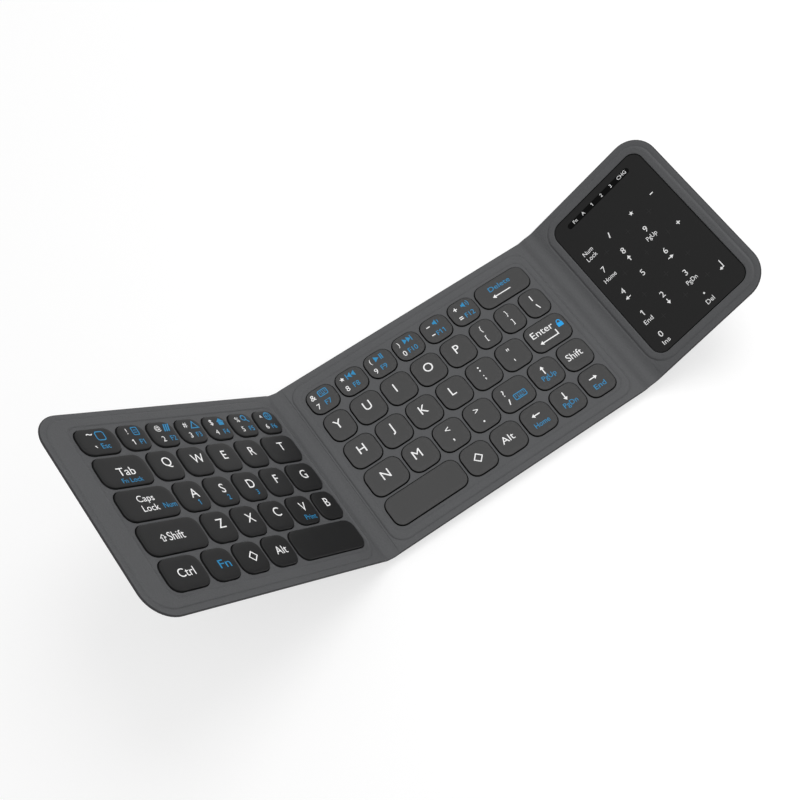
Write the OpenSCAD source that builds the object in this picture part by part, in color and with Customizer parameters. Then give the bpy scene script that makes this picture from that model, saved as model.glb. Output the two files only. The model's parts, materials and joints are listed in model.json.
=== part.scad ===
// Folding keyboard in three panels: a left key wing, a middle key panel and a right touch panel.
// Origin: centre of the middle panel's flat underside. +X right, +Y away from the typist, +Z up.
// The middle panel lies flat and both wings stand part way up, as when the keyboard is being opened.

/* [Keys] */
// Centre distance of the letter keys along a row
key_pitch = 17; // [16.4:0.1:18]
// Centre distance of the digit keys along the top row
digit_pitch = 16.05; // [15.6:0.05:17]
// Gap between two keycaps, and from the outer keycaps to the edge of the key bed
key_gap = 1.8; // [1.7:0.05:2.2]
// Front-to-back size of a letter keycap
key_depth = 14.7; // [13.6:0.1:16]
// Front-to-back size of a keycap in the digit row
digit_depth = 12.9; // [12.5:0.1:14]
// Corner radius of a keycap, seen from above
cap_corner = 4.4; // [2.5:0.1:5]
// Rounding of a keycap's upper edge
cap_round = 0.45; // [0.2:0.05:0.7]
// Height of the keycaps above the key bed
key_proud = 0.8; // [0.6:0.05:1.2]
// How far a key goes down
key_travel = 1.1; // [0.8:0.05:1.4]
// Thickness of a keycap's side wall
cap_wall = 1; // [0.7:0.05:1.2]
// Thickness of a keycap's top
cap_top = 0.9; // [0.6:0.05:1.1]
// Width of the T key
t_key_w = 20.3; // [18:0.1:24]
// Width of the G key
g_key_w = 17.6; // [16:0.1:21]
// Width of the B key
b_key_w = 14.2; // [13:0.1:18]
// Width of the H key
h_key_w = 15.5; // [13:0.1:18]
// Width of the N key
n_key_w = 18.8; // [16:0.1:21]
// Width of the left space key
left_space_w = 42.7; // [36:0.1:48]

/* [Panels] */
// Width of the key field on the left wing
left_field_w = 115.9; // [114:0.1:122]
// Width of the key field on the middle panel
middle_field_w = 124.2; // [121:0.1:130]
// How far the key fields sit towards the typist from the panels' middle
field_shift = 0; // [0:0.05:0.6]
// Raised border between the key bed and the rim, in front of and behind the keys
border_y = 4.45; // [3.8:0.05:7]
// Raised border at both ends of the middle panel's key bed
border_middle = 3.65; // [3.2:0.05:6]
// Raised border on the left wing, on the side of the fold
border_fold = 2.1; // [2:0.05:4]
// Raised border at the left wing's outer end
border_end = 10.3; // [8.5:0.1:16]
// Flat stitched-down rim around the panels
rim_w = 3; // [2:0.1:5]
// Radius of the outer corners of both wings
outer_corner = 13.4; // [8:0.1:16]
// Corner radius of the middle panel's raised border
middle_corner = 7.5; // [6.5:0.1:10]
// Corner radius of the key bed
bed_corner = 5.2; // [3.5:0.1:6]
// Step from the rim up to the key bed
bed_rise = 0.1; // [0:0.05:0.4]
// Step from the key bed up to the raised border
border_rise = 0.3; // [0.1:0.05:0.6]

/* [Touch panel] */
// Width of the touch glass
glass_w = 55.3; // [48:0.1:70]
// Width of the raised ring around the touch glass
ring_w = 4.35; // [3.8:0.05:6]
// Corner radius of the touch glass
glass_corner = 5.6; // [3:0.1:8]
// Thickness of the touch glass
glass_t = 0.8; // [0.6:0.05:1]
// Gap around the touch glass
glass_gap = 0.35; // [0.2:0.05:0.5]
// How far the touch glass lies below the ring
glass_sink = 0.25; // [0.1:0.05:0.4]
// Thickness of the touch sensor board
board_t = 0.8; // [0.5:0.05:1]
// Length of the indicator window
window_w = 39.6; // [30:0.2:46]
// Height of the indicator window, seen from above
window_d = 2.9; // [2:0.1:4]
// Distance of the indicator window's centre line from the glass's far edge
window_inset = 4.9; // [3:0.1:8]
// Width of the battery
battery_w = 38; // [30:0.5:42]
// Length of the battery
battery_l = 54; // [40:0.5:56]
// Width of the charging socket's shell
port_w = 8.9; // [7:0.1:10]
// Height of the charging socket's shell
port_h = 2.5; // [2:0.05:2.6]
// Depth of the charging socket's shell
port_l = 6.8; // [5:0.1:8]

/* [Layers] */
// Thickness of one leather skin
skin_t = 0.5; // [0.4:0.05:0.7]
// Thickness of a tray's floor
tray_t = 0.5; // [0.4:0.05:0.8]
// Thickness of a tray's side wall at the key panels
tray_wall = 1.2; // [1.1:0.05:1.4]
// Rounding of the tray's lower edge
tray_round = 2; // [1:0.1:2.2]
// Thickness of the steel backplate
plate_t = 0.4; // [0.3:0.05:0.6]
// Thickness of the switch membrane
membrane_t = 0.25; // [0.2:0.05:0.4]
// Thickness of the dome sheet's base
sheet_t = 0.25; // [0.2:0.05:0.4]
// Thickness of the key frame
frame_t = 0.8; // [0.7:0.05:1.2]
// Thickness of the flange that holds a key under the frame
flange_t = 0.4; // [0.3:0.05:0.6]

/* [Folds] */
// Lift of the left wing above flat, in degrees
left_lift = 45; // [0:1:60]
// Lift of the touch panel above flat, in degrees
right_lift = 34.35; // [0:0.05:60]
// Space between the key tops when the left wing is folded over
key_rest_gap = 0.8; // [0.5:0.1:2]
// Space between the left wing's back and the touch panel when both are folded over
stack_gap = 0.6; // [0.4:0.1:2]
// Free leather on the middle panel, from the raised border to the left fold line
left_flap = 4.05; // [2:0.05:8]
// Free leather on the middle panel, from the raised border to the right fold line
right_flap = 0.95; // [0.9:0.05:4]
// Free leather on each wing, from its fold line to the raised border
wing_flap = 3; // [2.7:0.1:5]
// Clearance between a fold strip's round edge and the leather beside it
fold_gap = 0.1; // [0.05:0.05:0.2]
// Width of the ribbon cable in the folds
ribbon_w = 12; // [8:0.5:20]
// Thickness of the ribbon cable
ribbon_t = 0.2; // [0.1:0.05:0.25]
// Clearance around the ribbon cable in its slots
ribbon_gap = 0.05; // [0.03:0.01:0.08]

/* [Hidden] */
$fn = 48;

// Finishes
leather = [0.36, 0.36, 0.37];
cap_plastic = [0.22, 0.22, 0.23];
black_plastic = [0.1, 0.1, 0.11];
steel = [0.62, 0.63, 0.65];
film = [0.75, 0.76, 0.7];
silicone = [0.85, 0.87, 0.88];
glass_black = [0.16, 0.16, 0.17];
board_green = [0.08, 0.3, 0.2];

// Small clearances and details
slip = 0.1;          // between a key's flange and what it meets above and below
cap_gap = 0.35;      // around a keycap in its opening
flange_out = 0.7;    // the flange beyond the keycap
lay_gap = 0.1;       // around a layer in its tray
back_round = tray_round + skin_t;

// Heights above the underside of a panel
tray_z = skin_t;
plate_z = tray_z + tray_t;
membrane_z = plate_z + plate_t;
sheet_z = membrane_z + membrane_t;
deck_z = sheet_z + sheet_t;
flange_z = deck_z + slip + key_travel;
frame_z = flange_z + flange_t + slip;
bed_z = frame_z + frame_t + skin_t;
key_top = bed_z + key_proud;
rim_z = bed_z - bed_rise;
border_z = bed_z + border_rise;
seam_z = rim_z - skin_t;
flange_under = seam_z - skin_t;

// Keycap widths, row by row from the far row to the near row, each row from left to right
letter_w = key_pitch - key_gap;
digit_w = digit_pitch - key_gap;
function times(count, value) = [for (i = [1:count]) value];
function sum(v, i = 0) = i < len(v) ? v[i] + sum(v, i + 1) : 0;
function rest_of(field, v) = field - sum(v) - len(v) * key_gap;
function lead(field, v) = concat([rest_of(field, v)], v);
function trail(field, v) = concat(v, [rest_of(field, v)]);
bracket_w = (middle_field_w + key_gap - 4 * key_pitch) / 4 - key_gap;
slash_w = rest_of(middle_field_w, concat([n_key_w], times(5, letter_w)));
left_rows = [
    lead(left_field_w, times(6, digit_w)),
    lead(left_field_w, concat(times(4, letter_w), [t_key_w])),
    lead(left_field_w, concat(times(4, letter_w), [g_key_w])),
    lead(left_field_w, concat(times(4, letter_w), [b_key_w])),
    lead(left_field_w, concat(times(3, letter_w), [left_space_w]))
];
middle_rows = [
    trail(middle_field_w, times(6, digit_w)),
    concat([bracket_w], times(4, letter_w), times(3, bracket_w)),
    trail(middle_field_w, concat([h_key_w], times(5, letter_w))),
    concat([n_key_w], times(3, letter_w), [slash_w], times(2, letter_w)),
    lead(middle_field_w, times(5, letter_w))
];
narrowest_w = min([for (row = concat(left_rows, middle_rows)) min(row)]);

// Key centres: x from the field's left end, y from the panel's middle
field_d = digit_depth + 4 * (key_depth + key_gap);
function depth_of(row) = row == 0 ? digit_depth : key_depth;
function key_x(widths, i) = sum([for (k = [0:1:i - 1]) widths[k] + key_gap]) + widths[i] / 2;
function row_y(row) = field_d / 2 - field_shift - depth_of(row) / 2
    - (row == 0 ? 0 : digit_depth + key_gap + (row - 1) * (key_depth + key_gap));
function left_u(row, i) = left_field_u + left_field_w - key_x(left_rows[row], i);
function middle_x(row, i) = key_x(middle_rows[row], i) - middle_field_w / 2;

// Outlines. On a wing, u is the distance from its fold line, outwards
panel_d = field_d + 2 * (key_gap + border_y + rim_w);
raised_d = panel_d - 2 * rim_w;
bed_d = field_d + 2 * key_gap;
middle_raised_w = middle_field_w + 2 * (key_gap + border_middle);
left_field_u = wing_flap + border_fold + key_gap;
left_raised_w = border_fold + left_field_w + 2 * key_gap + border_end;
left_w = wing_flap + left_raised_w + rim_w;
right_raised_w = glass_w + 2 * ring_w;
right_w = wing_flap + right_raised_w + rim_w;
wing_corner = outer_corner - rim_w;
glass_d = raised_d - 2 * ring_w;
glass_u = wing_flap + ring_w + glass_w / 2;
glass_top = border_z - glass_sink;
glass_z = glass_top - glass_t;
board_z = glass_z - board_t;
window_y = glass_d / 2 - window_inset;

// Folds. The two axes of a fold are as far apart as the folded panels' seams
nose_r = skin_t;
strip_end = nose_r + fold_gap;
left_fold_x = middle_raised_w / 2 + left_flap;
right_fold_x = middle_raised_w / 2 + right_flap;
left_strip_w = 2 * (key_top - seam_z) + key_rest_gap;
left_back_z = seam_z + left_strip_w + seam_z;
right_strip_w = left_back_z + stack_gap + (border_z - seam_z) - seam_z;

// Scissor clips and domes under the keys
clip_l = 9;
clip_bar = 0.5;
clip_clear = 0.5;     // from a clip to the wall of the narrowest keycap
clip_apart = 0.3;     // between the two halves of a clip
clip_outer_x = narrowest_w / 2 - cap_wall - clip_clear - clip_bar / 2;
clip_inner_x = clip_outer_x - clip_bar - clip_apart;
clip_tilt = 11;
clip_room_low = deck_z;
clip_room_high = key_top - cap_top;
dome_base_r = 2.6;
dome_top_r = 1.5;
dome_wall = 0.4;
dome_top_z = clip_room_high - 0.7;
stem_r = 1.3;

// Ribbon cable inside a panel: it lies in the seam, turns down behind the tray wall and ends in a foot
ribbon_turn = 2.3;
ribbon_foot = 0.7;
ribbon_foot_right = 5;
ribbon_right_z = board_z - 0.6;

// Closing magnets
magnet_h = 1.4;
magnet_l = 14;
magnet_y = 24;
left_magnet_w = 5;
right_magnet_w = 1.8;

// Touch panel interior
right_wall = 5;
battery_y = 6;
battery_gap = 0.05;
chip_t = 0.7;
chip_w = 7;
chip_inset = 11;      // from the glass's far edge to a chip's middle
led_count = 6;
led_w = 1.6;
led_d = 0.8;
led_t = 0.3;
pane_t = 0.4;
port_wall = 0.3;
port_tongue_t = 0.6;
port_inset = 0.9;
port_gap = 0.15;
port_z = plate_z + 0.05;

// ---------------------------------------------------------------- shapes

// Rounded rectangle from true arcs
module round_rect(w, d, r) {
    square([w - 2 * r, d], center = true);
    square([w, d - 2 * r], center = true);
    for (sx = [-1, 1])
        for (sy = [-1, 1])
            translate([sx * (w / 2 - r), sy * (d / 2 - r)])
                circle(r);
}

module slab(w, d, r, z0, z1) {
    translate([0, 0, z0])
        linear_extrude(z1 - z0)
            round_rect(w, d, r);
}

// Cross-section of width w and height h with both upper corners rounded
module rounded_section(w, h, f) {
    translate([-w / 2, 0])
        square([w, h - f]);
    translate([f - w / 2, 0])
        square([w - 2 * f, h]);
    for (s = [-1, 1])
        translate([s * (w / 2 - f), h - f])
            if (2 * f > h)
                intersection() {
                    circle(f);
                    translate([-f, f - h])
                        square([2 * f, h]);
                }
            else
                circle(f);
}

// Rounded rectangle plate whose upper edge is rounded all round
module pillow(w, d, r, h, f) {
    rotate([90, 0, 0])
        linear_extrude(d - 2 * r, center = true)
            rounded_section(w, h, f);
    rotate([90, 0, 90])
        linear_extrude(w - 2 * r, center = true)
            rounded_section(d, h, f);
    for (sx = [-1, 1])
        for (sy = [-1, 1])
            translate([sx * (w / 2 - r), sy * (d / 2 - r), 0])
                rotate_extrude()
                    intersection() {
                        rounded_section(2 * r, h, f);
                        square([r, h]);
                    }
}

// The same with the lower edge rounded
module pan(w, d, r, z0, z1, f) {
    translate([0, 0, z1])
        mirror([0, 0, 1])
            pillow(w, d, r, z1 - z0, f);
}

// Outline of a wing: square at the fold, round at its outer corners
module wing_outline(w) {
    straight = w - strip_end - outer_corner;
    translate([strip_end, -panel_d / 2])
        square([straight, panel_d]);
    translate([strip_end, outer_corner - panel_d / 2])
        square([w - strip_end, panel_d - 2 * outer_corner]);
    for (s = [-1, 1])
        translate([w - outer_corner, s * (panel_d / 2 - outer_corner)])
            circle(outer_corner);
}

module middle_outline() {
    translate([strip_end - left_fold_x, -panel_d / 2])
        square([left_fold_x + right_fold_x - 2 * strip_end, panel_d]);
}

// ---------------------------------------------------------------- places

// The right fold's strip: its first fold line is at x = 0 and its mid-plane at z = 0
module at_strip(fold_x, lift) {
    translate([fold_x, 0, seam_z])
        rotate([0, -lift / 2, 0])
            children();
}

// A wing: its fold line is at x = 0, its underside at z = 0
module at_wing(fold_x, strip_w, lift) {
    at_strip(fold_x, lift)
        translate([strip_w, 0, 0])
            rotate([0, -lift / 2, 0])
                translate([0, 0, -seam_z])
                    children();
}

module at_right() {
    at_wing(right_fold_x, right_strip_w, right_lift)
        children();
}

module at_left() {
    mirror([1, 0, 0])
        at_wing(left_fold_x, left_strip_w, left_lift)
            children();
}

// Middle of a wing's raised part
module at_left_raised() {
    translate([wing_flap + left_raised_w / 2, 0, 0])
        children();
}

module at_right_raised() {
    translate([wing_flap + right_raised_w / 2, 0, 0])
        children();
}

// Middle of the left wing's key bed
module at_left_bed() {
    translate([left_field_u + left_field_w / 2, 0, 0])
        children();
}

module at_left_keys(places) {
    at_left()
        for (p = places)
            translate([left_u(p[0], p[1]), row_y(p[0]), 0])
                mirror([1, 0, 0])
                    keycap(left_rows[p[0]][p[1]], depth_of(p[0]));
}

module at_middle_keys(places) {
    for (p = places)
        translate([middle_x(p[0], p[1]), row_y(p[0]), 0])
            keycap(middle_rows[p[0]][p[1]], depth_of(p[0]));
}

// ---------------------------------------------------------------- leather skins and trays

// Outer skin of a panel: a pan around the tray, with a flat flange along the seam
module back_skin(w, corner, shift) {
    difference() {
        union() {
            translate([shift, 0, 0])
                pan(w, raised_d, corner, 0, seam_z, back_round);
            translate([0, 0, flange_under])
                linear_extrude(skin_t)
                    children();
        }
        translate([shift, 0, 0])
            pan(w - 2 * skin_t, raised_d - 2 * skin_t, corner - skin_t, tray_z, seam_z + 1, tray_round);
    }
}

// Tray inside the outer skin at a key panel
module key_tray(w, corner) {
    inner = skin_t + tray_wall;
    difference() {
        pan(w - 2 * skin_t, raised_d - 2 * skin_t, corner - skin_t, tray_z, frame_z, tray_round);
        slab(w - 2 * inner, raised_d - 2 * inner, corner - inner, plate_z, frame_z + 1);
    }
}

// Frame over the keys without its openings: low over the key bed, raised under the border
module frame_blank(w, corner, bed_w, bed_shift) {
    difference() {
        slab(w - 2 * skin_t, raised_d - 2 * skin_t, corner - skin_t, frame_z, border_z - skin_t);
        translate([bed_shift, -field_shift, 0])
            slab(bed_w + 2 * skin_t, bed_d + 2 * skin_t, bed_corner + skin_t, bed_z - skin_t, border_z);
    }
}

// Face skin over a key panel without its openings
module face_blank(w, corner, bed_w, bed_shift, shift) {
    difference() {
        union() {
            translate([0, 0, seam_z])
                linear_extrude(skin_t)
                    children();
            translate([shift, 0, 0])
                slab(w, raised_d, corner, seam_z, border_z);
        }
        translate([shift + bed_shift, -field_shift, 0])
            slab(bed_w, bed_d, bed_corner, bed_z, border_z + 1);
        translate([shift, 0, 0])
            frame_blank(w, corner, bed_w, bed_shift);
        translate([shift + bed_shift, -field_shift, 0])
            slab(bed_w - 1, bed_d - 1, bed_corner, seam_z - 1, bed_z - skin_t);
    }
}

// Keycap-shaped openings for a whole panel
module opening(w, d) {
    slab(w + 2 * cap_gap, d + 2 * cap_gap, cap_corner + cap_gap, frame_z - 1, border_z + 1);
}

module left_openings() {
    for (row = [0:4])
        for (i = [0:len(left_rows[row]) - 1])
            translate([left_u(row, i), row_y(row), 0])
                opening(left_rows[row][i], depth_of(row));
}

module middle_openings() {
    for (row = [0:4])
        for (i = [0:len(middle_rows[row]) - 1])
            translate([middle_x(row, i), row_y(row), 0])
                opening(middle_rows[row][i], depth_of(row));
}

// ---------------------------------------------------------------- key parts

// One key: a cap with a rounded upper edge, hollow below, a flange under the frame and a stem
module keycap(w, d) {
    body_z = flange_z + flange_t;
    difference() {
        union() {
            translate([0, 0, body_z])
                pillow(w, d, cap_corner, key_top - body_z, cap_round);
            slab(w + 2 * flange_out, d + 2 * flange_out, cap_corner + flange_out, flange_z, body_z);
        }
        slab(w - 2 * cap_wall, d - 2 * cap_wall, cap_corner - cap_wall, flange_z - 1, clip_room_high);
    }
    translate([0, 0, dome_top_z + slip / 2])
        cylinder(h = clip_room_high - dome_top_z, r = stem_r);
}

// One rubber dome, hollow and open below
module dome_out() {
    translate([0, 0, deck_z])
        cylinder(h = dome_top_z - deck_z, r1 = dome_base_r, r2 = dome_top_r);
}

module dome_in() {
    translate([0, 0, sheet_z - 1])
        cylinder(h = deck_z - sheet_z + 1, r = dome_base_r - dome_wall);
    translate([0, 0, deck_z])
        cylinder(h = dome_top_z - deck_z - dome_wall, r1 = dome_base_r - dome_wall, r2 = dome_top_r - dome_wall);
}

// One half of a scissor clip: two arms and the bar that joins them
module clip_half(x, tilt, bar_side) {
    translate([0, 0, (clip_room_low + clip_room_high) / 2])
        rotate([tilt, 0, 0]) {
            for (s = [-1, 1])
                translate([s * x, 0, 0])
                    cube([clip_bar, clip_l, clip_bar], center = true);
            translate([0, bar_side * (clip_l - clip_bar) / 2, 0])
                cube([2 * x + clip_bar, clip_bar, clip_bar], center = true);
        }
}

module scissor_clip() {
    clip_half(clip_outer_x, clip_tilt, 1);
    clip_half(clip_inner_x, -clip_tilt, -1);
}

module at_left_switches() {
    for (row = [0:4])
        for (i = [0:len(left_rows[row]) - 1])
            translate([left_u(row, i), row_y(row), 0])
                children();
}

module at_middle_switches() {
    for (row = [0:4])
        for (i = [0:len(middle_rows[row]) - 1])
            translate([middle_x(row, i), row_y(row), 0])
                children();
}

// A flat layer that fills the key bed
module layer(bed_w, z0, t) {
    translate([0, -field_shift, 0])
        slab(bed_w - 2 * lay_gap, bed_d - 2 * lay_gap, bed_corner, z0, z0 + t);
}

// ---------------------------------------------------------------- ribbon cables

// Slot for a ribbon in the seam, from a fold line at u = 0 to the turn
module seam_slot(u_border) {
    reach = u_border + ribbon_turn + ribbon_t + ribbon_gap;
    h = ribbon_t + 2 * ribbon_gap;
    translate([-1, -ribbon_w / 2 - ribbon_gap, seam_z - h / 2])
        cube([reach + 1, ribbon_w + 2 * ribbon_gap, h]);
}

// Shaft below the turn
module turn_slot(u_border, z0) {
    translate([u_border + ribbon_turn - 2 * ribbon_gap, -ribbon_w / 2 - ribbon_gap, z0])
        cube([ribbon_t + 4 * ribbon_gap, ribbon_w + 2 * ribbon_gap, seam_z - z0 + ribbon_t / 2 + ribbon_gap]);
}

// The ribbon on one panel, from the fold line to its foot
module ribbon_end(u_border, z_foot, foot) {
    turn = u_border + ribbon_turn;
    translate([0, -ribbon_w / 2, seam_z - ribbon_t / 2])
        cube([turn + ribbon_t, ribbon_w, ribbon_t]);
    translate([turn, -ribbon_w / 2, z_foot])
        cube([ribbon_t, ribbon_w, seam_z - z_foot]);
    translate([turn, -ribbon_w / 2, z_foot])
        cube([foot, ribbon_w, ribbon_t]);
}

module ribbon(fold_x, strip_w, lift, flap, z_foot, foot) {
    translate([fold_x, 0, 0])
        mirror([1, 0, 0])
            ribbon_end(flap, deck_z + slip / 2, ribbon_foot);
    at_strip(fold_x, lift)
        translate([0, -ribbon_w / 2, -ribbon_t / 2])
            cube([strip_w, ribbon_w, ribbon_t]);
    at_wing(fold_x, strip_w, lift)
        ribbon_end(wing_flap, z_foot, foot);
}

// Slots that a ribbon needs on the middle panel, at its two ends
module middle_ribbon_slots() {
    translate([right_fold_x, 0, 0])
        mirror([1, 0, 0]) {
            seam_slot(right_flap);
            turn_slot(right_flap, frame_z - 1);
        }
    translate([-left_fold_x, 0, 0]) {
        seam_slot(left_flap);
        turn_slot(left_flap, frame_z - 1);
    }
}

module left_ribbon_slots() {
    seam_slot(wing_flap);
    turn_slot(wing_flap, frame_z - 1);
}

// ---------------------------------------------------------------- fold strips

// Leather strip between two fold lines, with round edges on them and a slot for the ribbon.
// The round edges stop short of the ribbon, so that it can bend there
module fold_strip(w) {
    notch_w = ribbon_w + 2 * ribbon_gap;
    difference() {
        rotate([90, 0, 0])
            linear_extrude(panel_d, center = true) {
                translate([0, -nose_r])
                    square([w, 2 * nose_r]);
                circle(nose_r);
                translate([w, 0])
                    circle(nose_r);
            }
        translate([-1, -notch_w / 2, -ribbon_t / 2 - ribbon_gap])
            cube([w + 2, notch_w, ribbon_t + 2 * ribbon_gap]);
        for (u = [-1, w])
            translate([u, -notch_w / 2, -1])
                cube([1, notch_w, 2]);
    }
}

module fold_strip_left() {
    color(leather)
        mirror([1, 0, 0])
            at_strip(left_fold_x, left_lift)
                fold_strip(left_strip_w);
}

module fold_strip_right() {
    color(leather)
        at_strip(right_fold_x, right_lift)
            fold_strip(right_strip_w);
}

module ribbon_left() {
    color(film)
        mirror([1, 0, 0])
            ribbon(left_fold_x, left_strip_w, left_lift, left_flap, deck_z + slip / 2, ribbon_foot);
}

module ribbon_right() {
    color(film)
        ribbon(right_fold_x, right_strip_w, right_lift, right_flap, ribbon_right_z, ribbon_foot_right);
}

// ---------------------------------------------------------------- middle panel

middle_bed_w = middle_field_w + 2 * key_gap;
left_bed_w = left_field_w + 2 * key_gap;
left_bed_shift = (border_fold - border_end) / 2;

module back_skin_middle() {
    color(leather)
        difference() {
            back_skin(middle_raised_w, middle_corner, 0)
                middle_outline();
            middle_ribbon_slots();
        }
}

module tray_middle() {
    color(black_plastic)
        key_tray(middle_raised_w, middle_corner);
}

module backplate_middle() {
    color(steel)
        layer(middle_bed_w, plate_z, plate_t);
}

module membrane_middle() {
    color(film)
        layer(middle_bed_w, membrane_z, membrane_t);
}

module dome_sheet_middle() {
    color(silicone)
        difference() {
            union() {
                layer(middle_bed_w, sheet_z, sheet_t);
                at_middle_switches()
                    dome_out();
            }
            at_middle_switches()
                dome_in();
        }
}

module scissor_clips_middle() {
    color(black_plastic)
        at_middle_switches()
            scissor_clip();
}

module key_frame_middle() {
    color(black_plastic)
        difference() {
            frame_blank(middle_raised_w, middle_corner, middle_bed_w, 0);
            middle_openings();
            middle_ribbon_slots();
        }
}

module face_skin_middle() {
    color(leather)
        difference() {
            face_blank(middle_raised_w, middle_corner, middle_bed_w, 0, 0)
                middle_outline();
            middle_openings();
            middle_ribbon_slots();
        }
}

// ---------------------------------------------------------------- left wing

module back_skin_left() {
    color(leather)
        at_left()
            difference() {
                back_skin(left_raised_w, wing_corner, wing_flap + left_raised_w / 2)
                    wing_outline(left_w);
                left_ribbon_slots();
            }
}

module tray_left() {
    color(black_plastic)
        at_left()
            at_left_raised()
                key_tray(left_raised_w, wing_corner);
}

module backplate_left() {
    color(steel)
        at_left()
            at_left_bed()
                layer(left_bed_w, plate_z, plate_t);
}

module membrane_left() {
    color(film)
        at_left()
            at_left_bed()
                layer(left_bed_w, membrane_z, membrane_t);
}

module dome_sheet_left() {
    color(silicone)
        at_left()
            difference() {
                union() {
                    at_left_bed()
                        layer(left_bed_w, sheet_z, sheet_t);
                    at_left_switches()
                        dome_out();
                }
                at_left_switches()
                    dome_in();
            }
}

module scissor_clips_left() {
    color(black_plastic)
        at_left()
            at_left_switches()
                scissor_clip();
}

module key_frame_left() {
    color(black_plastic)
        at_left()
            difference() {
                at_left_raised()
                    frame_blank(left_raised_w, wing_corner, left_bed_w, left_bed_shift);
                left_openings();
                left_ribbon_slots();
            }
}

module face_skin_left() {
    color(leather)
        at_left()
            difference() {
                face_blank(left_raised_w, wing_corner, left_bed_w, left_bed_shift, wing_flap + left_raised_w / 2)
                    wing_outline(left_w);
                left_openings();
                left_ribbon_slots();
            }
}

// Bar magnets in the wide outer border; they hold the folded wing to the middle backplate
module magnets_left() {
    u = wing_flap + left_raised_w - border_end / 2;
    color(steel)
        at_left()
            for (s = [-1, 1])
                translate([u - left_magnet_w / 2, s * magnet_y - magnet_l / 2, plate_z])
                    cube([left_magnet_w, magnet_l, magnet_h]);
}

// ---------------------------------------------------------------- touch panel

module back_skin_right() {
    color(leather)
        at_right()
            difference() {
                back_skin(right_raised_w, wing_corner, wing_flap + right_raised_w / 2)
                    wing_outline(right_w);
                seam_slot(wing_flap);
                port_hole();
            }
}

// The charging socket's opening through the far wall
module port_outline(grow) {
    r = port_h / 2 + grow;
    translate([r - port_w / 2 - grow, 0])
        circle(r);
    translate([port_w / 2 + grow - r, 0])
        circle(r);
    square([port_w - port_h, 2 * r], center = true);
}

module at_port() {
    translate([glass_u, raised_d / 2 - port_inset, port_z + port_h / 2])
        rotate([90, 0, 0])
            children();
}

module port_hole() {
    at_port()
        translate([0, 0, -2 * port_inset])
            linear_extrude(port_l + 2 * port_inset + port_gap)
                port_outline(port_gap);
}

module magnet_bars(grow) {
    u = wing_flap + right_raised_w - skin_t - right_magnet_w - 3 * lay_gap;
    for (s = [-1, 1])
        translate([u - grow, s * magnet_y - magnet_l / 2 - grow, border_z - skin_t - magnet_h])
            cube([right_magnet_w + 2 * grow, magnet_l + 2 * grow, magnet_h + grow]);
}

module tray_right() {
    low = skin_t + right_wall;
    color(black_plastic)
        at_right()
            difference() {
                at_right_raised()
                    difference() {
                        tray_right_blank();
                        slab(right_raised_w - 2 * low, raised_d - 2 * low, wing_corner - low + 1, plate_z, board_z + 1);
                        slab(glass_w + 2 * glass_gap, glass_d + 2 * glass_gap, glass_corner + glass_gap, board_z, border_z);
                    }
                seam_slot(wing_flap);
                turn_slot(wing_flap, ribbon_right_z - ribbon_gap);
                translate([wing_flap + ribbon_turn, -ribbon_w / 2 - ribbon_gap, ribbon_right_z - ribbon_gap])
                    cube([right_wall + skin_t, ribbon_w + 2 * ribbon_gap, ribbon_t + 2 * ribbon_gap]);
                port_hole();
                magnet_bars(lay_gap / 2);
            }
}

module tray_right_blank() {
    pan(
        right_raised_w - 2 * skin_t,
        raised_d - 2 * skin_t,
        wing_corner - skin_t,
        tray_z,
        border_z - skin_t,
        tray_round
    );
}

module face_skin_right() {
    color(leather)
        at_right()
            difference() {
                union() {
                    translate([0, 0, seam_z])
                        linear_extrude(skin_t)
                            wing_outline(right_w);
                    at_right_raised()
                        slab(right_raised_w, raised_d, wing_corner, seam_z, border_z);
                }
                at_right_raised() {
                    slab(
                        right_raised_w - 2 * skin_t,
                        raised_d - 2 * skin_t,
                        wing_corner - skin_t,
                        seam_z - 1,
                        border_z - skin_t
                    );
                    slab(
                        glass_w + 2 * glass_gap,
                        glass_d + 2 * glass_gap,
                        glass_corner + glass_gap,
                        seam_z,
                        border_z + 1
                    );
                }
                seam_slot(wing_flap);
            }
}

module battery() {
    t = board_z - chip_t - plate_z - 2 * battery_gap;
    color("silver")
        at_right()
            translate([glass_u, -battery_y, 0])
                slab(battery_w, battery_l, 1.5, plate_z + battery_gap, plate_z + battery_gap + t);
}

// Sensor board under the glass, with a notch for the charging socket and its controller chips below
module touch_board() {
    notch_y = raised_d / 2 - port_inset - port_l - 2 * port_gap;
    color(board_green)
        at_right()
            translate([glass_u, 0, 0]) {
                difference() {
                    slab(glass_w, glass_d, glass_corner, board_z, glass_z);
                    translate([-port_w / 2 - port_gap, notch_y, board_z - 1])
                        cube([port_w + 2 * port_gap, port_l, board_t + 2]);
                }
                for (s = [-1, 1])
                    translate([s * glass_w / 5, glass_d / 2 - chip_inset, board_z - chip_t / 2])
                        cube([chip_w, chip_w, chip_t], center = true);
            }
}

module touch_glass() {
    color(glass_black)
        at_right()
            translate([glass_u, 0, 0])
                difference() {
                    slab(glass_w, glass_d, glass_corner, glass_z, glass_top);
                    translate([0, window_y, 0])
                        slab(window_w, window_d, window_d / 2 - 0.01, glass_z - 1, glass_top + 1);
                }
}

module indicator_window() {
    w = window_w - lay_gap;
    d = window_d - lay_gap;
    color("black")
        at_right()
            translate([glass_u, window_y, 0])
                slab(w, d, d / 2 - 0.01, glass_top - pane_t, glass_top);
}

module status_leds() {
    step = (window_w - window_d - led_w) / (led_count - 1);
    color("white")
        at_right()
            translate([glass_u - (window_w - window_d - led_w) / 2, window_y, glass_z + led_t / 2])
                for (i = [0:led_count - 1])
                    translate([i * step, 0, 0])
                        cube([led_w, led_d, led_t], center = true);
}

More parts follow.
